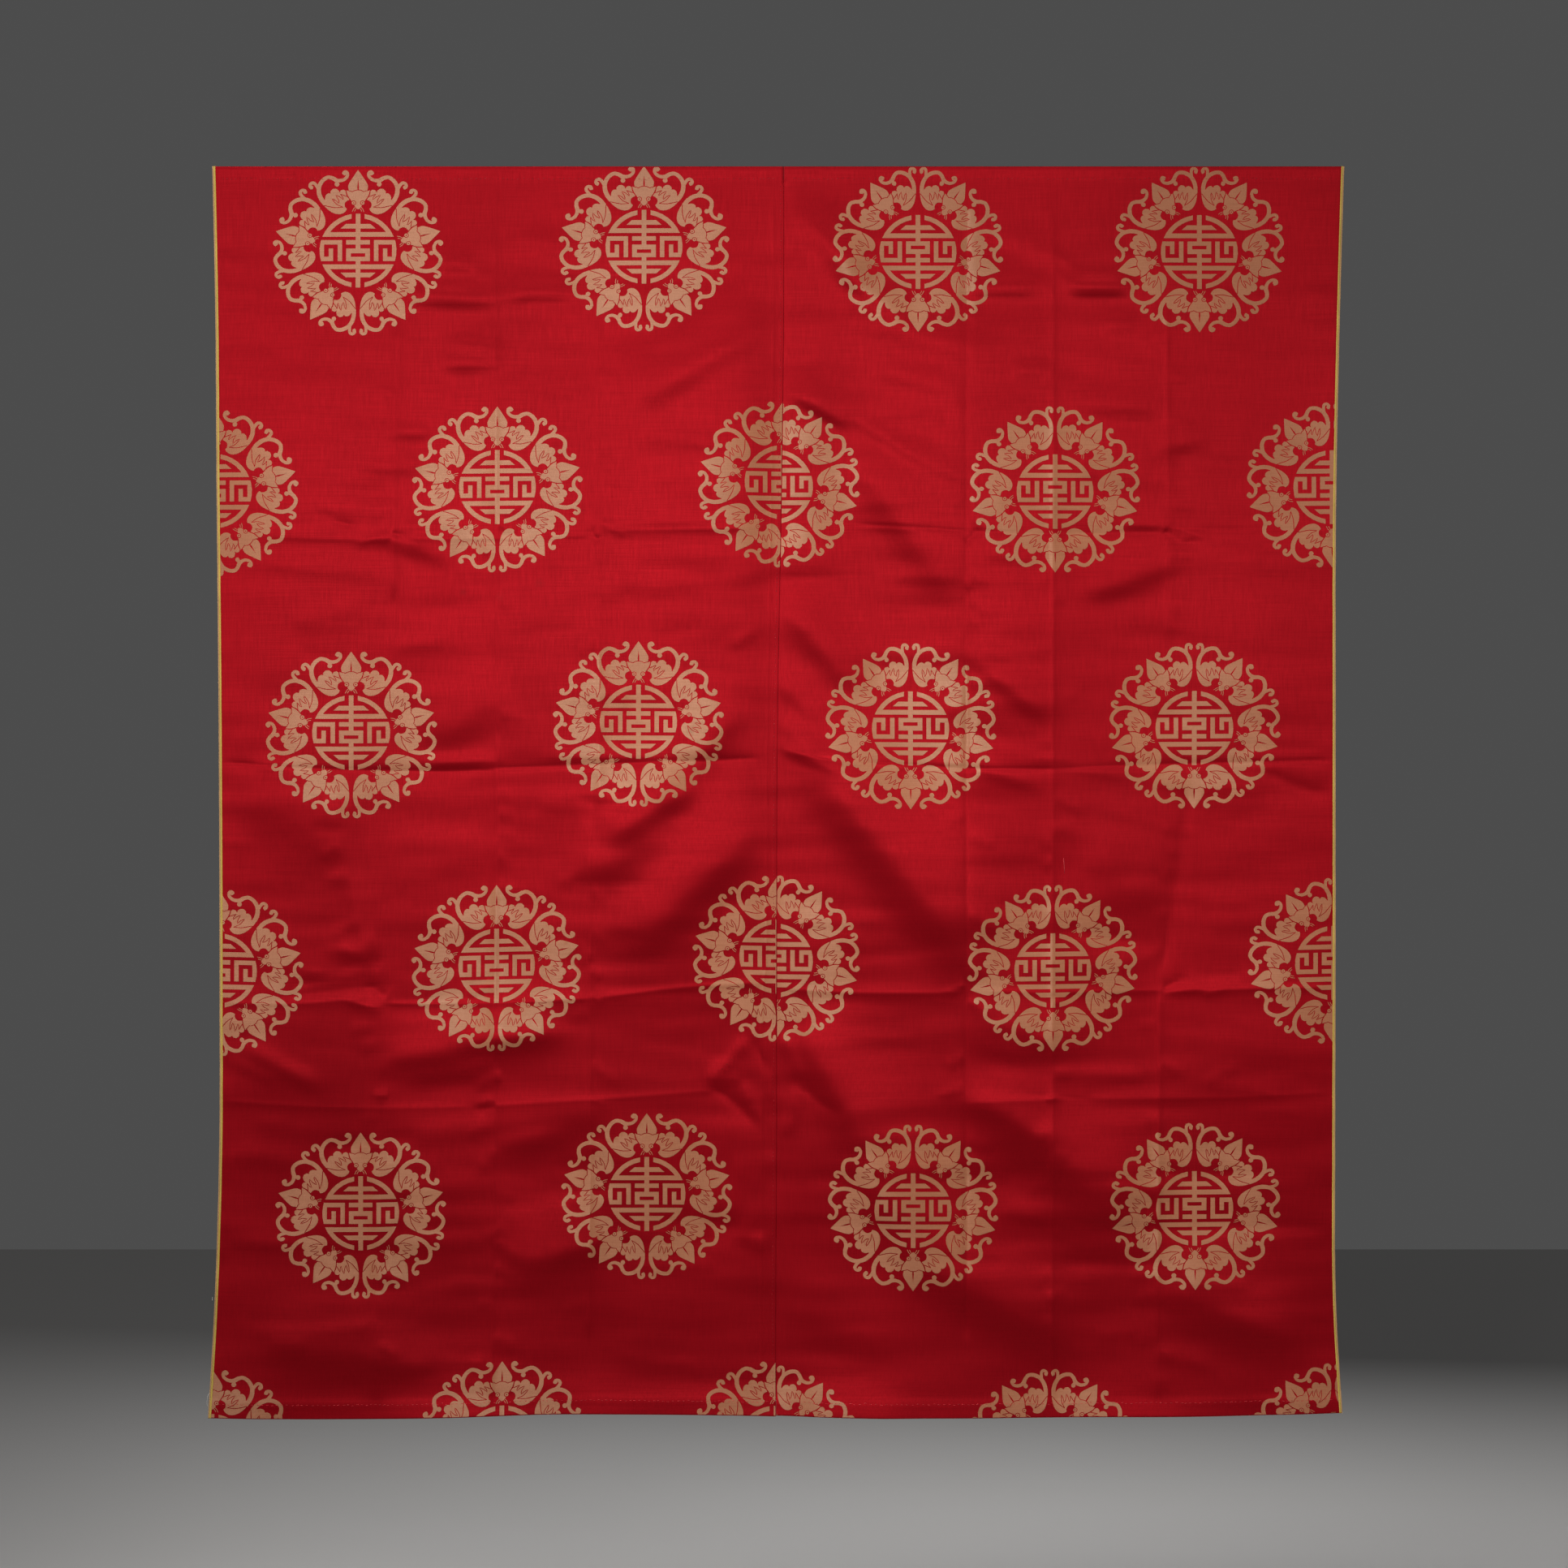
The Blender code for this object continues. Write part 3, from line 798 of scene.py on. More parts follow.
def crease_swell(x, drop, crease):
    """A sharp ridge, or a furrow where the height is negative, that fades out at its ends."""
    along, aside = along_and_aside(x, drop, crease)
    middle = np.clip(along, 0, 1)
    aside = aside + crease.bow * 4 * middle * (1 - middle)
    fade = min(CREASE_END, CREASE_FADE / math.hypot(crease.x1 - crease.x0, crease.drop1 - crease.drop0))
    ends = smooth_step(along / fade) * smooth_step((1 - along) / fade)
    return crease.height * ends * np.exp(-np.sqrt((aside / crease.half) ** 2 + CREASE_CUSP**2) + CREASE_CUSP)


def fine_wrinkles():
    """Short shallow wrinkles, mostly level, as creased silk keeps them all over."""
    random = np.random.default_rng(5)
    wrinkles = []
    for _ in range(FINE_WRINKLES):
        x, drop = random.uniform(-0.74, 0.74), random.uniform(0.03, 1.64)
        run, lean = random.uniform(0.05, 0.17), random.normal(0, 0.10)
        height, half = random.normal(0, 0.00050), random.uniform(0.005, 0.014)
        ends = (x - run / 2, drop - run * lean / 2, x + run / 2, drop + run * lean / 2)
        wrinkles.append(Crease(*ends, random.normal(0, 0.002), height, half))
    return wrinkles


def crease_puckers():
    """Short slanted puckers on either side of the upright creases."""
    random = np.random.default_rng(11)
    puckers = []
    for crease in in_metres(Crease, UPRIGHT_CREASES):
        lean = (crease.x1 - crease.x0) / (crease.drop1 - crease.drop0)
        drop = crease.drop0 + random.uniform(0.02, 0.08)
        while drop < crease.drop1 - PUCKER_MARGIN:
            x = crease.x0 + lean * (drop - crease.drop0)
            reach, slant = random.uniform(0.014, 0.042), random.uniform(0.15, 0.75)
            end = x + random.choice((-1, 1)) * reach
            height = random.uniform(0.0005, 0.0013)
            puckers.append(Crease(x, drop, end, drop + reach * slant, 0.0, height, PUCKER_HALF))
            drop += random.uniform(0.018, 0.075)
    return puckers


def ripples(x, drop):
    """Faint slack all over the cloth, which runs mostly level."""
    random = np.random.default_rng(23)
    total = 0.0
    for _ in range(FINE_RIPPLES):
        length = random.uniform(0.028, 0.100)
        across, start = random.uniform(-14, 14), random.uniform(0, 6.3)
        patch_across, patch_down = random.uniform(8, 20), random.uniform(-12, 12)
        patch = np.clip(np.cos(patch_across * x + patch_down * drop + random.uniform(0, 6.3)), 0, 1)
        wave = np.cos(2 * math.pi * drop / length + across * x + start)
        total = total + length * RIPPLE_STEEPNESS * patch * wave
    return total


def bulge(x, drop, side, away):
    """The slight pillow of each oblong between the creases of one side."""
    levels, lines = np.array(BULGE_LEVELS), np.array(BULGE_LINES[side])
    row = np.clip(np.searchsorted(levels, drop, side="right") - 1, 0, len(levels) - 2)
    column = np.clip(np.searchsorted(lines, away, side="right") - 1, 0, len(lines) - 2)
    down = np.clip((drop - levels[row]) / (levels[row + 1] - levels[row]), 0, 1)
    out = np.clip((away - lines[column]) / (lines[column + 1] - lines[column]), 0, 1)
    return BULGE_SCALE * np.array(BULGES[side])[row, column] * 16 * down * (1 - down) * out * (1 - out)


def ridge_reach(drop):
    """How far left of the seam the raw edge behind the left width shows, which is further lower down."""
    return RIDGE_REACH + RIDGE_DRIFT * smooth_step((drop - RIDGE_DRIFT_DROP) / RIDGE_DRIFT_LENGTH)


def raw_edge_ridge(x, drop):
    """The faint ridge of the raw edge behind the left width."""
    away = outline_at("seam", drop) - x - ridge_reach(drop)
    start, end = drop - TOP_HEM, HEIGHT - BOTTOM_HEM - drop
    present = smooth_step(start / RIDGE_FADE) * smooth_step(end / RIDGE_FADE)
    return RIDGE_HEIGHT * present * np.exp(-((away / RIDGE_HALF) ** 2))


def hem_ridge(drop):
    """The low ridge along the bottom hem's row of stitches."""
    return HEM_RIDGE * np.exp(-(((drop - HEIGHT + BOTTOM_HEM) / HEM_RIDGE_HALF) ** 2))


def swell(x, drop):
    """How far the cloth stands forward of its flat plane."""
    seam = outline_at("seam", drop)
    total = STAND_OFF + sum(ridge_swell(x, drop, fold) for fold in in_metres(Ridge, FOLDS))
    for wave in WAVES:
        phase = 2 * math.pi * x / wave.across + wave.lean * drop + wave.start
        total = total + wave.height * np.cos(phase)
    total = total * (1 - SEAM_HOLD * np.exp(-(((x - seam) / SEAM_HOLD_WIDTH) ** 2)))
    total = total * smooth_step((drop - RAMP_START) / RAMP_LENGTH)
    small = ripples(x, drop) + sum(ridge_swell(x, drop, dint) for dint in in_metres(Ridge, DINTS))
    by_hand = in_metres(Crease, LEVEL_CREASES + UPRIGHT_CREASES + WRINKLES + STAR_WRINKLES)
    for creases in (by_hand, crease_puckers(), fine_wrinkles()):
        small = small + sum(crease_swell(x, drop, crease) for crease in creases)
    small = small + np.where(x < seam, bulge(x, drop, "left", seam - x), bulge(x, drop, "right", x - seam))
    total = total + small * smooth_step((drop - TOP_HEM) / SMALL_RAMP)
    total = total + raw_edge_ridge(x, drop) + hem_ridge(drop)
    return total + HEADING_LEAN * np.clip(1 - drop / TOP_HEM, 0, 1)


def cloth_point(side, x, drop, back):
    """Points in the middle of the hung cloth, back being the depth behind its front layer."""
    edge, seam = outline_at(side, drop), outline_at("seam", drop)
    share = np.clip((x - seam) / (edge - seam), 0, 1)
    sag = curve_at([s.share for s in SAG], [getattr(s, side) for s in SAG], share)
    down = drop + sag * smooth_step(drop / HEIGHT)
    return np.stack([x, back - TURN_RADIUS - swell(x, drop), -down], axis=-1)


def spaced(start, end, step):
    """Even stations from the start up to, but without, the end."""
    count = max(1, math.ceil((end - start) / step))
    return [start + (end - start) * k / count for k in range(count)]


def banded(start, end, bands):
    """Stations from start to end, close together in the bands."""
    stations, at = [], start
    for low, high in bands:
        stations += spaced(at, low, GRID_STEP) + spaced(low, high, FINE_STEP)
        at = high
    return stations + spaced(at, end, GRID_STEP) + [end]


Row = namedtuple("Row", "drop back kind")


def cloth_rows():
    """The cloth's path: up the back of the top hem, down the front, and up the back of the bottom hem."""
    turns = [math.pi * k / TURN_STEPS for k in range(1, TURN_STEPS)]
    hem = [TOP_HEM, (TOP_HEM + FOLD_REACH) / 2, FOLD_REACH]
    rows = [Row(drop, 2 * TURN_RADIUS, "hem") for drop in hem]
    for turn in reversed(turns):
        drop = FOLD_REACH - TURN_RADIUS * math.sin(turn)
        rows.append(Row(drop, TURN_RADIUS * (1 - math.cos(turn)), "hem"))
    body_top, body_bottom = TOP_HEM + FLAP_CLEAR_OF_HEM, HEIGHT - BOTTOM_HEM - FLAP_CLEAR_OF_HEM
    rows += [Row(drop, 0.0, "hem") for drop in spaced(FOLD_REACH, TOP_HEM, GRID_STEP) + [TOP_HEM]]
    rows += [Row(drop, 0.0, "body") for drop in banded(body_top, body_bottom, LEVEL_BANDS)]
    last = HEIGHT - FOLD_REACH
    foot = spaced(HEIGHT - BOTTOM_HEM, last - EDGE_ROW, GRID_STEP) + [last - EDGE_ROW, last]
    rows += [Row(drop, 0.0, "hem") for drop in foot]
    for turn in turns:
        rows.append(Row(last + TURN_RADIUS * math.sin(turn), TURN_RADIUS * (1 - math.cos(turn)), "hem"))
    return rows + [Row(drop, 2 * TURN_RADIUS, "hem") for drop in reversed(foot)]


def across_shares(side):
    """Shares of the way from the edge of the seam's lap to the outer edge."""
    width = abs(outline_at(side, 0.0) - outline_at("seam", 0.0))
    first = LAP_START[side]
    bands = [(line - UPRIGHT_BAND, line + UPRIGHT_BAND) for line in UPRIGHT_LINES[side]]
    return [(at - first) / (width - first) for at in banded(first, width, bands)]


def left_columns(row, shares):
    """(x, back) of each point of one row of the left width, from its outer edge to its raw edge."""
    edge, seam = outline_at("left", row.drop), outline_at("seam", row.drop)
    start = seam - LAP_START["left"]
    columns = [(start + (edge - start) * share, 0.0) for share in reversed(shares)]
    reach = float(ridge_reach(row.drop))
    columns += [(seam - reach - aside, 0.0) for aside in RIDGE_COLUMNS]
    columns += [(seam - away, 0.0) for away in TURN_COLUMNS]
    if row.kind == "hem":
        return [*columns, (seam, 0.0)]
    columns.append((seam - SEAM_REACH, 0.0))
    for k in range(1, TURN_STEPS):
        turn = math.pi * k / TURN_STEPS
        x = seam - SEAM_REACH + SEAM_TURN * math.sin(turn)
        columns.append((x, SEAM_TURN * (1 - math.cos(turn))))
    for away in (SEAM_REACH, ALLOWANCE / 2, ALLOWANCE):
        columns.append((seam - away, 2 * SEAM_TURN))
    return columns


def right_columns(row, shares):
    """(x, back) of each point of one row of the right width, from its outer edge to its raw edge."""
    edge, seam = outline_at("right", row.drop), outline_at("seam", row.drop)
    start = seam + LAP_START["right"]
    columns = [(start + (edge - start) * share, 0.0) for share in reversed(shares)]
    lap = [(seam + away, LAP_BACK * share) for away, share in LAP_STEPS]
    if row.kind == "hem":
        columns += [(x, 0.0) for x, back in lap[:-1]]
        return [*columns, (seam + SEAM_GAP / 4, 0.0)]
    return [*columns, *lap, (seam - ALLOWANCE / 2, LAP_BACK), (seam - ALLOWANCE, LAP_BACK)]


COLUMNS = {"left": left_columns, "right": right_columns}
FRONT_COLUMNS = {"left": len(RIDGE_COLUMNS) + len(TURN_COLUMNS) + 1, "right": len(LAP_STEPS) - 1}


def surface_normals(points, quads):
    """The mean direction that the faces round each point look in."""
    corner = points[quads]
    facing = np.cross(corner[:, 2] - corner[:, 0], corner[:, 3] - corner[:, 1])
    normals = np.zeros_like(points)
    for k in range(4):
        np.add.at(normals, quads[:, k], facing)
    return normals / np.linalg.norm(normals, axis=1)[:, None]


class Grid:
    """The middle of one loom width, with the grid that its front shows."""

    def __init__(self, side):
        rows, shares = cloth_rows(), across_shares(side)
        x, drop, back, quads, self.lines, shown = [], [], [], [], [], []
        for row in rows:
            this = []
            for at, depth in COLUMNS[side](row, shares):
                this.append(len(x))
                x.append(float(at))
                drop.append(row.drop)
                back.append(row.back + depth)
            before = self.lines[-1] if self.lines else []
            for k in range(min(len(this), len(before)) - 1):
                quads.append((before[k], this[k], this[k + 1], before[k + 1]))
            self.lines.append(this)
            if row.back == 0.0:
                shown.append(this[: len(shares) + FRONT_COLUMNS[side]])
        self.x, self.drop = np.array(x), np.array(drop)
        self.quads, self.front = np.array(quads), np.array(shown)
        if side == "right":
            self.quads, self.front = self.quads[:, ::-1], self.front[:, ::-1]
        self.points = cloth_point(side, self.x, self.drop, np.array(back))
        self.normals = surface_normals(self.points, self.quads)


class Front:
    """The face of one loom width as it is meshed, to lay other pieces on."""

    def __init__(self, grid):
        self.points, self.normals = grid.points[grid.front], grid.normals[grid.front]
        self.x, self.drop = grid.x[grid.front], grid.drop[grid.front[:, 0]]

    def at(self, x, drop):
        """Points of the sheet's middle, and its normals, at these places."""
        row = np.clip(np.searchsorted(self.drop, drop, side="right") - 1, 0, len(self.drop) - 2)
        down = (drop - self.drop[row]) / (self.drop[row + 1] - self.drop[row])
        line = self.x[row] * (1 - down)[:, None] + self.x[row + 1] * down[:, None]
        column = np.clip((line <= x[:, None]).sum(axis=1) - 1, 0, line.shape[1] - 2)
        each = np.arange(len(x))
        width = line[each, column + 1] - line[each, column]
        over = np.clip((x - line[each, column]) / width, -0.5, 1.5)
        found = []
        for values in (self.points, self.normals):
            top = values[row, column] * (1 - over)[:, None] + values[row, column + 1] * over[:, None]
            foot = values[row + 1, column] * (1 - over)[:, None] + values[row + 1, column + 1] * over[:, None]
            found.append(top * (1 - down)[:, None] + foot * down[:, None])
        found[1] /= np.linalg.norm(found[1], axis=1)[:, None]
        return found

    def nodes_in(self, x0, drop0, x1, drop1):
        """The grid's own places inside a box, and the grid lines between them."""
        drop = np.broadcast_to(self.drop[:, None], self.x.shape)
        inside = (self.x > x0) & (self.x < x1) & (drop > drop0) & (drop < drop1)
        index = np.where(inside, np.cumsum(inside).reshape(inside.shape) - 1, -1)
        across = np.stack([index[:, :-1], index[:, 1:]], axis=-1).reshape(-1, 2)
        down = np.stack([index[:-1], index[1:]], axis=-1).reshape(-1, 2)
        lines = [pair for pair in np.concatenate([across, down]).tolist() if min(pair) >= 0]
        return list(zip(self.x[inside].tolist(), drop[inside].tolist())), lines


def edge_loops(faces):
    """The directed edges that only one face has."""
    edges = set()
    for face in faces:
        for k, start in enumerate(face):
            edges.add((start, face[(k + 1) % len(face)]))
    return [edge for edge in edges if (edge[1], edge[0]) not in edges]


def add_object(name, data):
    """A new object in the scene."""
    obj = bpy.data.objects.new(name, data)
    bpy.context.scene.collection.objects.link(obj)
    return obj


def mesh_object(name, points, faces, *materials):
    """A new smooth mesh with these materials."""
    mesh = bpy.data.meshes.new(name)
    mesh.from_pydata(points, [], faces)
    for material in materials:
        mesh.materials.append(material)
    mesh.shade_smooth()
    return add_object(name, mesh)


def slab(name, points, normals, faces, sheet, materials):
    """A closed sheet of some thickness; the first material is on the side that its normals point to."""
    count = len(points)
    both = np.concatenate([points + normals * sheet / 2, points - normals * sheet / 2])
    faces = [tuple(int(i) for i in face) for face in faces]
    reverse = [tuple(i + count for i in reversed(face)) for face in faces]
    walls = [(b, a, a + count, b + count) for a, b in edge_loops(faces)]
    obj = mesh_object(name, both.tolist(), faces + reverse + walls, *materials)
    slots = [0] * len(faces) + [1] * len(reverse) + [0] * len(walls)
    obj.data.polygons.foreach_set("material_index", slots)
    return obj


def weave_uv(obj):
    """A flat map across X and up Z, which gives the threads' direction."""
    mesh = obj.data
    uv = mesh.uv_layers.new(name="weave")
    places = np.empty(len(mesh.vertices) * 3)
    mesh.vertices.foreach_get("co", places)
    corners = np.empty(len(mesh.loops), dtype=int)
    mesh.loops.foreach_get("vertex_index", corners)
    places = places.reshape(-1, 3)[corners]
    uv.data.foreach_set("uv", places[:, (0, 2)].ravel())


def simplified(points):
    """A closed outline without the points that lie close to the line between their neighbours."""
    kept = list(points)
    k = 0
    while k < len(kept) and len(kept) > 4:
        (ax, ay), (bx, by), (cx, cy) = kept[k - 1], kept[k], kept[(k + 1) % len(kept)]
        length = math.hypot(cx - ax, cy - ay)
        height = abs((cx - ax) * (by - ay) - (cy - ay) * (bx - ax)) / max(length, 1e-9)
        if length < OUTLINE_LONGEST and height < OUTLINE_FIT:
            kept.pop(k)
        k += 1
    return kept


def counterclockwise(points):
    """The same outline, turned so that its inside lies to its left."""
    area = sum(ax * by - bx * ay for (ax, ay), (bx, by) in zip(points, points[1:] + points[:1]))
    return points if area > 0 else points[::-1]


def clip_outline(side, drop0, drop1):
    """The part of the cloth's face that can show the figure, between two drops."""
    drop0, drop1 = max(drop0, FIGURE_TOP), min(drop1, HEIGHT - FOLD_REACH)
    drops = np.linspace(drop0, drop1, max(3, math.ceil((drop1 - drop0) / CLIP_STEP)))
    if side == "left":
        low = outline_at("left", drops) + SELVEDGE_INNER
        high = outline_at("seam", drops) - FIGURE_CLEAR_OF_FOLD
    else:
        low = outline_at("seam", drops) + FIGURE_CLEAR_OF_FOLD
        high = outline_at("right", drops) - SELVEDGE_INNER
    return list(zip(low.tolist(), drops.tolist())) + list(zip(high.tolist(), drops.tolist()))[::-1]


def placed_outlines(side, centre, shapes):
    """The shapes' outlines at their place on the cloth, upside down on the right width."""
    turn = 1 if side == "left" else -1
    outlines = []
    for shape in shapes:
        x = [centre[0] + px * MOTIF_UNIT * turn for px, py in shape.points]
        drop = [centre[1] - py * MOTIF_UNIT * MOTIF_SQUASH * turn for px, py in shape.points]
        outlines.append(list(zip(x, drop)))
    return outlines


def figure(name, side, front, centre, shapes, materials):
    """One medallion woven into the cloth, cut off by the selvedge, the seam or the hem."""
    reach = MOTIF_UNIT * MOTIF_REACH
    low, high = (centre[0] - reach, centre[1] - reach), (centre[0] + reach, centre[1] + reach)
    places, faces = [], []
    for outline in [*placed_outlines(side, centre, shapes), clip_outline(side, low[1], high[1])]:
        faces.append(list(range(len(places), len(places) + len(outline))))
        places += counterclockwise(outline)
    nodes, lines = front.nodes_in(*low, *high)
    edges = [(a + len(places), b + len(places)) for a, b in lines]
    places += nodes
    found = delaunay_2d_cdt([Vector(p) for p in places], edges, faces, 0, MESHING_TOLERANCE, True)
    verts, triangles, origins = found[0], found[2], found[5]
    clip_face = len(shapes)
    kept = []
    for triangle, origin in zip(triangles, origins):
        covers = [k for k in origin if k != clip_face]
        if len(covers) < len(origin) and covers and shapes[max(covers)].gold:
            kept.append(triangle)
    used = sorted({i for triangle in kept for i in triangle})
    index = {old: new for new, old in enumerate(used)}
    x, drop = np.array([tuple(verts[i]) for i in used]).T
    points, normals = front.at(x, drop)
    triangles = [tuple(index[i] for i in reversed(triangle)) for triangle in kept]
    obj = slab(name, points, normals, triangles, FIGURE_SHEET, materials)
    obj.data.normals_split_custom_set_from_vertices(np.concatenate([normals, -normals]).tolist())
    return obj


def selvedge(name, side, grid, span, material):
    """A woven edge band over the cloth, from its top hem's back to its bottom hem's back."""
    outer, inner = (np.array([line[k] for line in grid.lines]) for k in (0, 1))
    across = grid.points[inner] - grid.points[outer]
    across = across / np.linalg.norm(across, axis=1)[:, None]
    ends = span if side == "left" else span[::-1]
    points = np.concatenate([grid.points[outer] + across * away for away in ends])
    normals = np.concatenate([grid.normals[outer]] * 2)
    count = len(outer)
    faces = [(k, k + 1, count + k + 1, count + k) for k in range(count - 1)]
    return slab(name, points, normals, faces, SELVEDGE_SHEET, (material, material))


def tube(places, radius):
    """Points and faces of a round thread through these places."""
    places = [Vector(p) for p in places]
    last = len(places) - 1
    points, faces = [], []
    for k, place in enumerate(places):
        ahead = places[min(k + 1, last)] - places[max(k - 1, 0)]
        across = ahead.cross(Vector(ASKEW))
        if across.length < 0.2 * ahead.length:
            across = ahead.cross(Vector((1.0, 0.0, 0.0)))
        across.normalize()
        other = ahead.cross(across).normalized()
        here = radius * (THREAD_TIP if k in (0, last) else 1.0)
        for j in range(STITCH_SIDES):
            turn = 2 * math.pi * j / STITCH_SIDES
            points.append(tuple(place + (across * math.cos(turn) + other * math.sin(turn)) * here))
    for k in range(last):
        for j in range(STITCH_SIDES):
            a, b = k * STITCH_SIDES + j, k * STITCH_SIDES + (j + 1) % STITCH_SIDES
            faces.append((a, b, b + STITCH_SIDES, a + STITCH_SIDES))
    faces.append(tuple(reversed(range(STITCH_SIDES))))
    faces.append(tuple(last * STITCH_SIDES + j for j in range(STITCH_SIDES)))
    return points, faces


def threads(name, paths, radius, material):
    """Several threads as one piece."""
    points, faces = [], []
    for path in paths:
        more, round_it = tube(path, radius)
        faces += [tuple(i + len(points) for i in face) for face in round_it]
        points += more
    return mesh_object(name, points, faces, material)


def on_cloth(front, places, lift):
    """Places on the face of the cloth, each lifted off its middle by this much."""
    x, drop = np.array([p[0] for p in places]), np.array([p[1] for p in places])
    points, normals = front.at(x, drop)
    return points + normals * np.asarray(lift)[:, None]


def stitch(front, start, end):
    """One short stitch that comes up out of the cloth and goes down again."""
    places = []
    for share, lift in STITCH_PATH:
        places.append((start[0] + (end[0] - start[0]) * share, start[1] + (end[1] - start[1]) * share))
    return on_cloth(front, places, [lift for share, lift in STITCH_PATH])


def seam_stitches(front, random):
    """Running stitches down the turned edge of the left width."""
    paths, drop = [], SEAM_STITCH_MARGIN
    while drop < HEIGHT - SEAM_STITCH_MARGIN:
        x = float(outline_at("seam", drop)) - SEAM_STITCH_IN + random.normal(0, 0.00030)
        length = SEAM_STITCH_LENGTH * random.uniform(0.75, 1.2)
        paths.append(stitch(front, (x, drop), (x + random.normal(0, 0.00025), drop + length)))
        drop += SEAM_STITCH_PITCH * random.uniform(0.86, 1.14)
    return paths


def loose_thread(front, places, bow):
    """A thread that stands off the cloth in its middle."""
    last = len(places) - 1
    lifts = [LOOSE_LIFT + bow * math.sin(math.pi * k / last) for k in range(len(places))]
    return on_cloth(front, places, lifts)


def hem_stitches(side, front, level, random):
    """Small stitches along a hem, where they catch the face of the cloth."""
    edge, seam = float(outline_at(side, level)), float(outline_at("seam", level))
    x, stop = min(edge, seam) + HEM_STITCH_MARGIN, max(edge, seam) - HEM_STITCH_MARGIN
    paths = []
    while x < stop:
        drop = level + random.normal(0, 0.00045)
        length = HEM_STITCH_LENGTH * random.uniform(0.7, 1.2)
        paths.append(stitch(front, (x, drop), (x + length, drop + random.normal(0, 0.0003))))
        x += HEM_STITCH_PITCH * random.uniform(0.8, 1.25)
    return paths


class Nodes:
    """Adds shader nodes to one material."""

    def __init__(self, name):
        self.material = bpy.data.materials.new(name)
        self.material.use_nodes = True
        self.tree = self.material.node_tree
        self.shader = self.tree.nodes["Principled BSDF"]

    def fed(self, node, inputs):
        """The node, with its inputs linked to other nodes' sockets or set to plain values."""
        for name, value in inputs.items():
            if isinstance(value, bpy.types.NodeSocket):
                self.tree.links.new(value, node.inputs[name])
            else:
                node.inputs[name].default_value = value
        return node

    def surface(self, inputs):
        """Links or sets inputs of the material's own shader."""
        self.fed(self.shader, inputs)

    def places(self, scale, shift=(0.0, 0.0, 0.0)):
        """Object coordinates, scaled on each axis and then shifted."""
        coords = self.tree.nodes.new("ShaderNodeTexCoord")
        mapping = self.tree.nodes.new("ShaderNodeMapping")
        inputs = {"Vector": coords.outputs["Object"], "Scale": scale, "Location": shift}
        return self.fed(mapping, inputs).outputs["Vector"]

    def noise(self, scale, detail=2.0, roughness=0.5):
        """Smooth noise from about 0 to 1, with the scale per metre on each axis."""
        node = self.tree.nodes.new("ShaderNodeTexNoise")
        inputs = {"Vector": self.places(scale), "Scale": 1.0, "Detail": detail, "Roughness": roughness}
        return self.fed(node, inputs).outputs["Fac"]

    def calc(self, operation, a, b):
        node = self.tree.nodes.new("ShaderNodeMath")
        node.operation = operation
        return self.fed(node, {0: a, 1: b}).outputs[0]

    def ranged(self, value, low, high, to_low=0.0, to_high=1.0):
        """The value from low to high, as one from to_low to to_high."""
        node = self.tree.nodes.new("ShaderNodeMapRange")
        inputs = {"Value": value, "From Min": low, "From Max": high, "To Min": to_low, "To Max": to_high}
        return self.fed(node, inputs).outputs["Result"]

    def mix(self, share, a, b, blend="MIX"):
        """A colour between a and b, or the two blended in another way."""
        node = self.tree.nodes.new("ShaderNodeMix")
        node.data_type = "RGBA"
        node.blend_type = blend
        return self.fed(node, {"Factor": share, "A": a, "B": b}).outputs["Result"]

    def brighten(self, colour, amount):
        """The colour, times an amount."""
        node = self.tree.nodes.new("ShaderNodeCombineColor")
        grey = self.fed(node, {"Red": amount, "Green": amount, "Blue": amount})
        return self.mix(1.0, colour, grey.outputs["Color"], "MULTIPLY")

    def spot(self, stain):
        """How deep inside a stain each place is, from 0 to 1, with an uneven edge."""
        apart = self.tree.nodes.new("ShaderNodeVectorMath")
        apart.operation = "LENGTH"
        self.fed(apart, {0: self.places((1.0, 0.0, 1.0), (-stain.x, 0.0, stain.drop))})
        ragged = self.calc("MULTIPLY", self.noise((160, 160, 160)), stain.radius)
        distance = self.calc("ADD", apart.outputs["Value"], ragged)
        return self.ranged(distance, stain.radius * 1.5, stain.radius * 0.6, 0.0, stain.strength)

    def bump(self, height, depth):
        node = self.tree.nodes.new("ShaderNodeBump")
        self.fed(node, {"Strength": 1.0, "Distance": depth, "Height": height})
        self.surface({"Normal": node.outputs["Normal"]})

    def satin(self, turn, gloss):
        """The long soft glow of floating threads; turn is 0 for upright ones and 0.25 for level ones."""
        tangent = self.tree.nodes.new("ShaderNodeTangent")
        tangent.direction_type = "UV_MAP"
        tangent.uv_map = "weave"
        along = tangent.outputs["Tangent"]
        self.surface({"Tangent": along, "Anisotropic": gloss, "Anisotropic Rotation": turn})


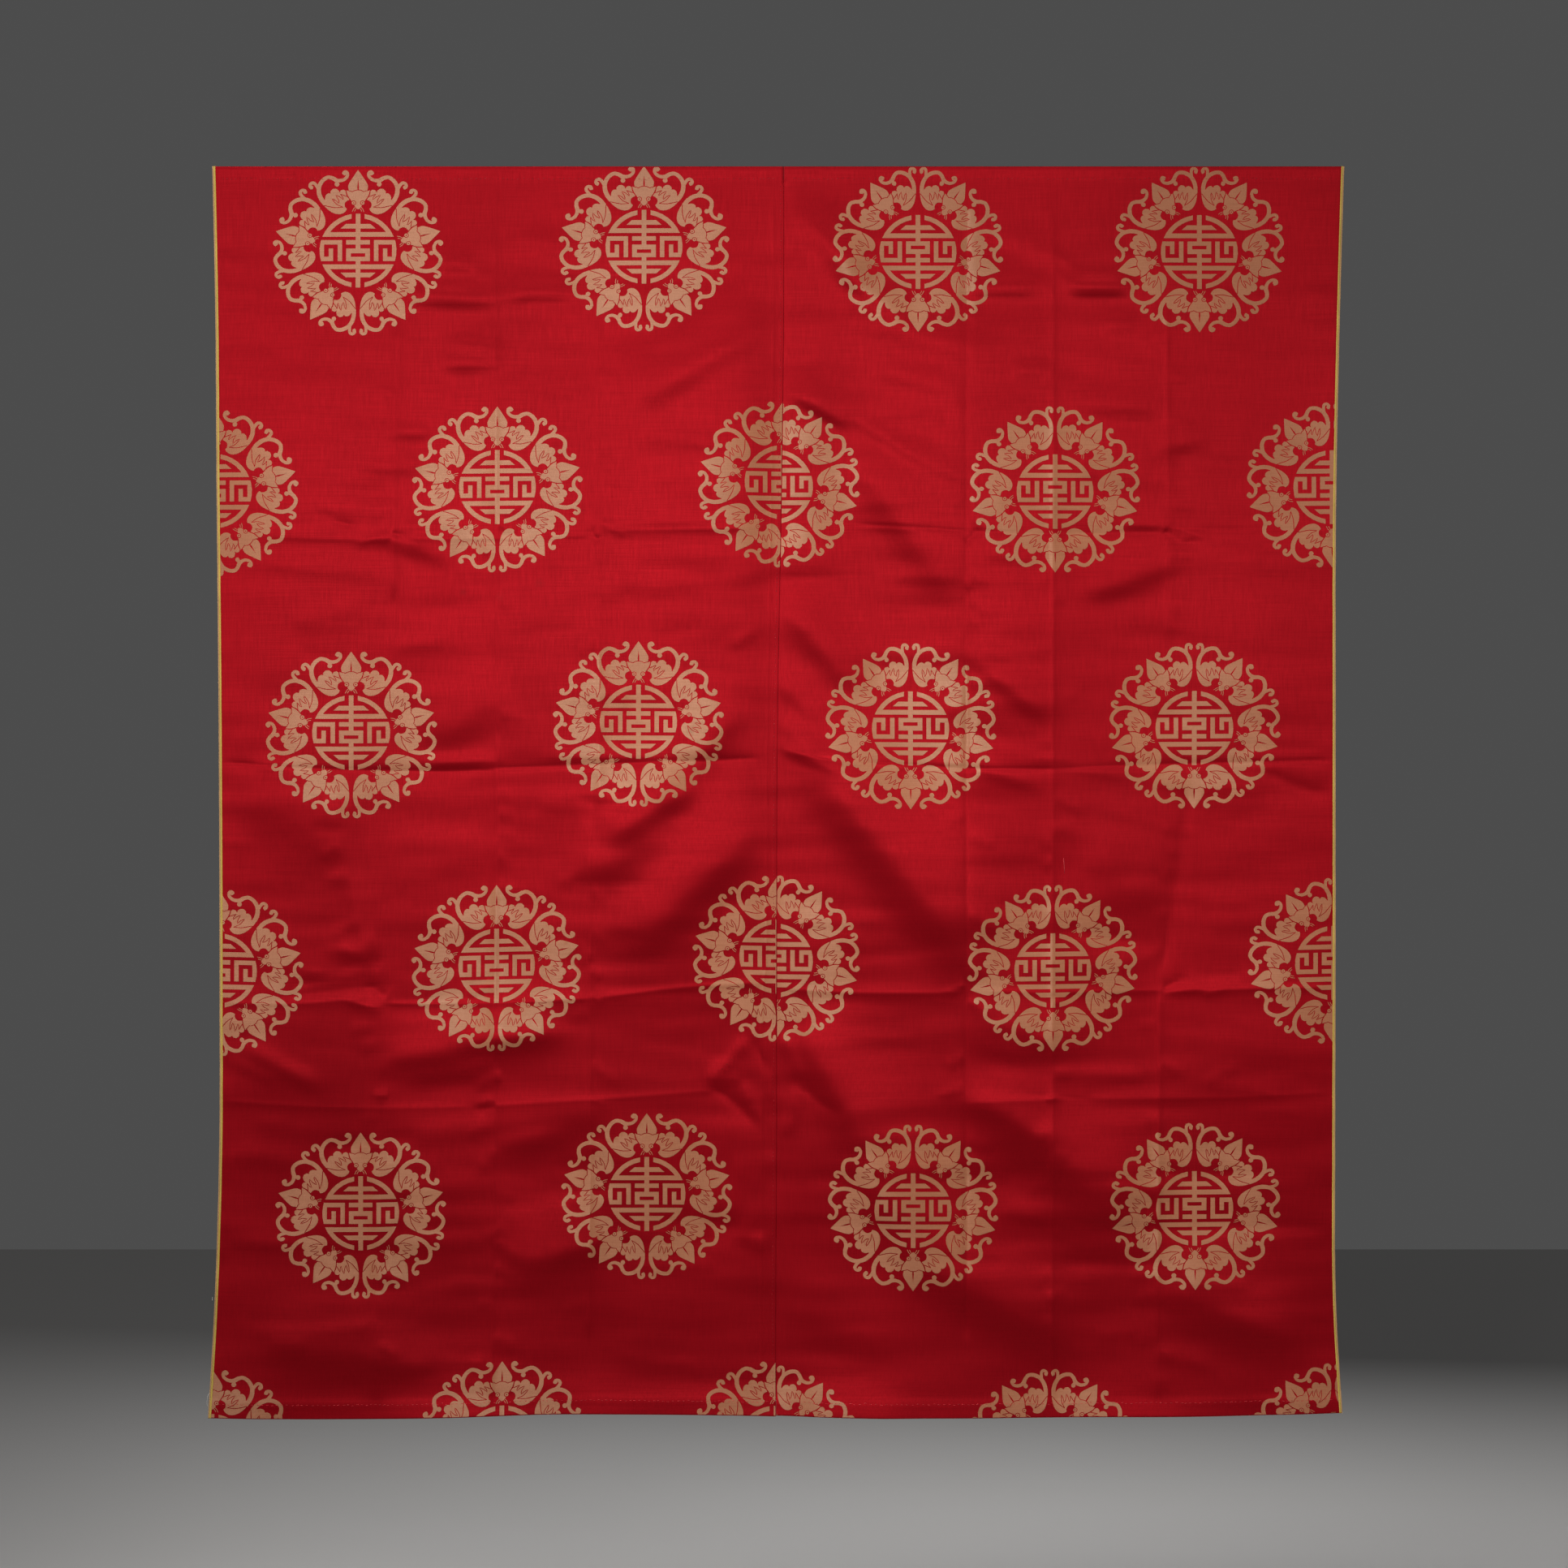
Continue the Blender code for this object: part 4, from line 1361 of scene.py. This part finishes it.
def woven_silk(name, weave, deep, face, level, roughness, glow):
    """Silk in the colours of its threads' depths and faces, times a level, with a sheen of some glow."""
    nodes = Nodes(name)
    floats = 0.0
    for scale, detail, rough, share in weave.layers:
        layer = nodes.calc("MULTIPLY", nodes.noise(scale, detail, rough), share)
        floats = nodes.calc("ADD", floats, layer)
    slow = nodes.noise(weave.mottle)
    colour = nodes.mix(nodes.ranged(floats, weave.low, weave.high), deep, face)
    mottle = nodes.ranged(slow, 0.30, 0.70, MOTTLE_DULL * level, weave.bright * level)
    colour = nodes.brighten(colour, mottle)
    for stain in weave.stains:
        colour = nodes.mix(nodes.spot(stain), colour, weave.stain_colour)
    rougher, smoother = roughness + DEEP_ROUGHER, roughness - weave.smoother
    nodes.surface({
        "Base Color": colour,
        "Roughness": nodes.ranged(floats, weave.low, weave.high, rougher, smoother),
        "Metallic": weave.metal,
        "Specular IOR Level": weave.specular,
        "Specular Tint": weave.tint,
        "Sheen Weight": glow,
        "Sheen Roughness": 0.45,
        "Sheen Tint": weave.glow_tint,
    })
    nodes.satin(weave.turn, weave.gloss)
    nodes.bump(floats, weave.relief)
    return nodes.material


def plain_yarn(name, colour, roughness):
    """Matt yarn with a fine grain."""
    nodes = Nodes(name)
    grain = nodes.noise((1400, 1400, 620))
    slow = nodes.noise((30, 30, 22))
    toned = nodes.brighten(colour, nodes.ranged(grain, 0.30, 0.70, 0.84, 1.08))
    toned = nodes.brighten(toned, nodes.ranged(slow, 0.30, 0.70, 0.90, 1.08))
    nodes.surface({"Base Color": toned, "Roughness": roughness, "Specular IOR Level": 0.30})
    nodes.bump(grain, 0.00006)
    return nodes.material


def soft_light(light):
    """A large area light that looks at one height of the panel."""
    data = bpy.data.lights.new(light.name, "AREA")
    data.shape = "RECTANGLE"
    data.size, data.size_y = light.size
    data.energy = light.power
    data.spread = math.radians(light.spread)
    data.color = light.colour
    obj = add_object(light.name, data)
    obj.location = light.place
    beam = Vector((VIEW_X, 0.0, light.aim)) - Vector(light.place)
    obj.rotation_mode = "QUATERNION"
    obj.rotation_quaternion = beam.to_track_quat("-Z", "Y")
    return obj


def studio():
    """The floor, the lights and the pale room."""
    nodes = Nodes("pale_floor")
    nodes.surface({"Base Color": FLOOR_COLOUR, "Roughness": 0.85})
    half = FLOOR_SIZE / 2
    corners = [(x, y, FLOOR_DEPTH) for x, y in box(-half, -half, half, half)]
    floor = mesh_object("floor", corners, [(0, 1, 2, 3)], nodes.material)
    key, fill, back = (soft_light(light) for light in LIGHTS)
    world = bpy.data.worlds.new("pale_room")
    world.use_nodes = True
    sky = world.node_tree.nodes["Background"]
    sky.inputs["Color"].default_value = ROOM_COLOUR
    sky.inputs["Strength"].default_value = ROOM_STRENGTH
    bpy.context.scene.world = world


def camera():
    """The photograph's level view."""
    data = bpy.data.cameras.new("camera")
    data.sensor_width = SENSOR
    data.lens = SENSOR * VIEW_DISTANCE / VIEW_WIDTH
    data.clip_end = 60.0
    obj = add_object("camera", data)
    obj.location = (VIEW_X, -VIEW_DISTANCE, VIEW_Z)
    obj.rotation_euler = (math.pi / 2, 0.0, 0.0)
    bpy.context.scene.camera = obj


def adopt(obj):
    """The piece, attached to the shared root body."""
    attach(obj, "root")
    return obj


def loom_width(side, shapes, silk, bronze, yarns, random):
    """One loom width with its figure, its selvedge and its hem stitches."""
    node = f"{side}_width"
    grid = Grid(side)
    cloth = slab(f"{side}_cloth", grid.points, grid.normals, grid.quads, SHEET, silk)
    weave_uv(cloth)
    adopt(cloth)
    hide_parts(node)
    front = Front(grid)
    pieces = []
    for row, centres in enumerate(MOTIF_CENTRES[side], 1):
        for column, centre in enumerate(centres, 1):
            name = f"medallion_{side}_{row}_{column}"
            pieces.append(figure(name, side, front, centre, shapes, bronze))
            weave_uv(pieces[-1])
    outer = (-SELVEDGE_WRAP, SELVEDGE_OUTER)
    inner = (SELVEDGE_OUTER, SELVEDGE_INNER)
    pieces.append(selvedge(f"selvedge_{side}", side, grid, outer, yarns["cream"]))
    pieces.append(selvedge(f"selvedge_line_{side}", side, grid, inner, yarns["green"]))
    top = hem_stitches(side, front, TOP_HEM - HEM_STITCH_IN, random)
    foot = hem_stitches(side, front, HEIGHT - BOTTOM_HEM + HEM_STITCH_IN, random)
    pieces.append(threads(f"heading_stitches_{side}", top, HEADING_RADIUS, yarns["sewing"]))
    # The bottom hem's stitches carry the lightened hem thread, which is a painted highlight along the hem
    pieces.append(threads(f"hem_stitches_{side}", foot, STITCH_RADIUS, yarns["hemming_painted_highlight"]))
    for piece in pieces:
        adopt(piece)
    return cloth, front, pieces


def main():
    random = np.random.default_rng(11)
    silk = (
        woven_silk("red_satin", RED_WEAVE, RED_DEEP, RED_FACE, 1.0, 0.58, 0.12),
        woven_silk("red_satin_reverse", RED_WEAVE, RED_REVERSE, RED_DEEP, 0.80, 0.58, 0.10),
    )
    bronze = (
        woven_silk("bronze_figure", BRONZE_WEAVE, BRONZE_DEEP, BRONZE_FACE, 1.0, 0.44, 0.10),
        woven_silk("figure_reverse", RED_WEAVE, RED_REVERSE, RED_DEEP, 0.55, 0.62, 0.05),
    )
    yarns = {key: plain_yarn(*yarn) for key, yarn in YARNS.items()}
    shapes = [Shape(simplified(s.points), s.gold) for s in medallion()]
    left = loom_width("left", shapes, silk, bronze, yarns, random)
    right = loom_width("right", shapes, silk, bronze, yarns, random)
    seam = threads("seam_stitches", seam_stitches(left[1], random), STITCH_RADIUS, yarns["sewing"])
    left[2].append(adopt(seam))
    paths = [loose_thread(left[1], *thread) for thread in LOOSE_THREADS]
    loose = threads("loose_threads", paths, LOOSE_RADIUS, yarns["pale"])
    left[2].append(adopt(loose))
    slub = threads("slub", [loose_thread(right[1], *SLUB)], LOOSE_RADIUS, yarns["pink"])
    right[2].append(adopt(slub))
    studio()
    camera()
    bpy.context.scene.view_settings.view_transform = "Standard"


main()
bpy.context.view_layer.update()
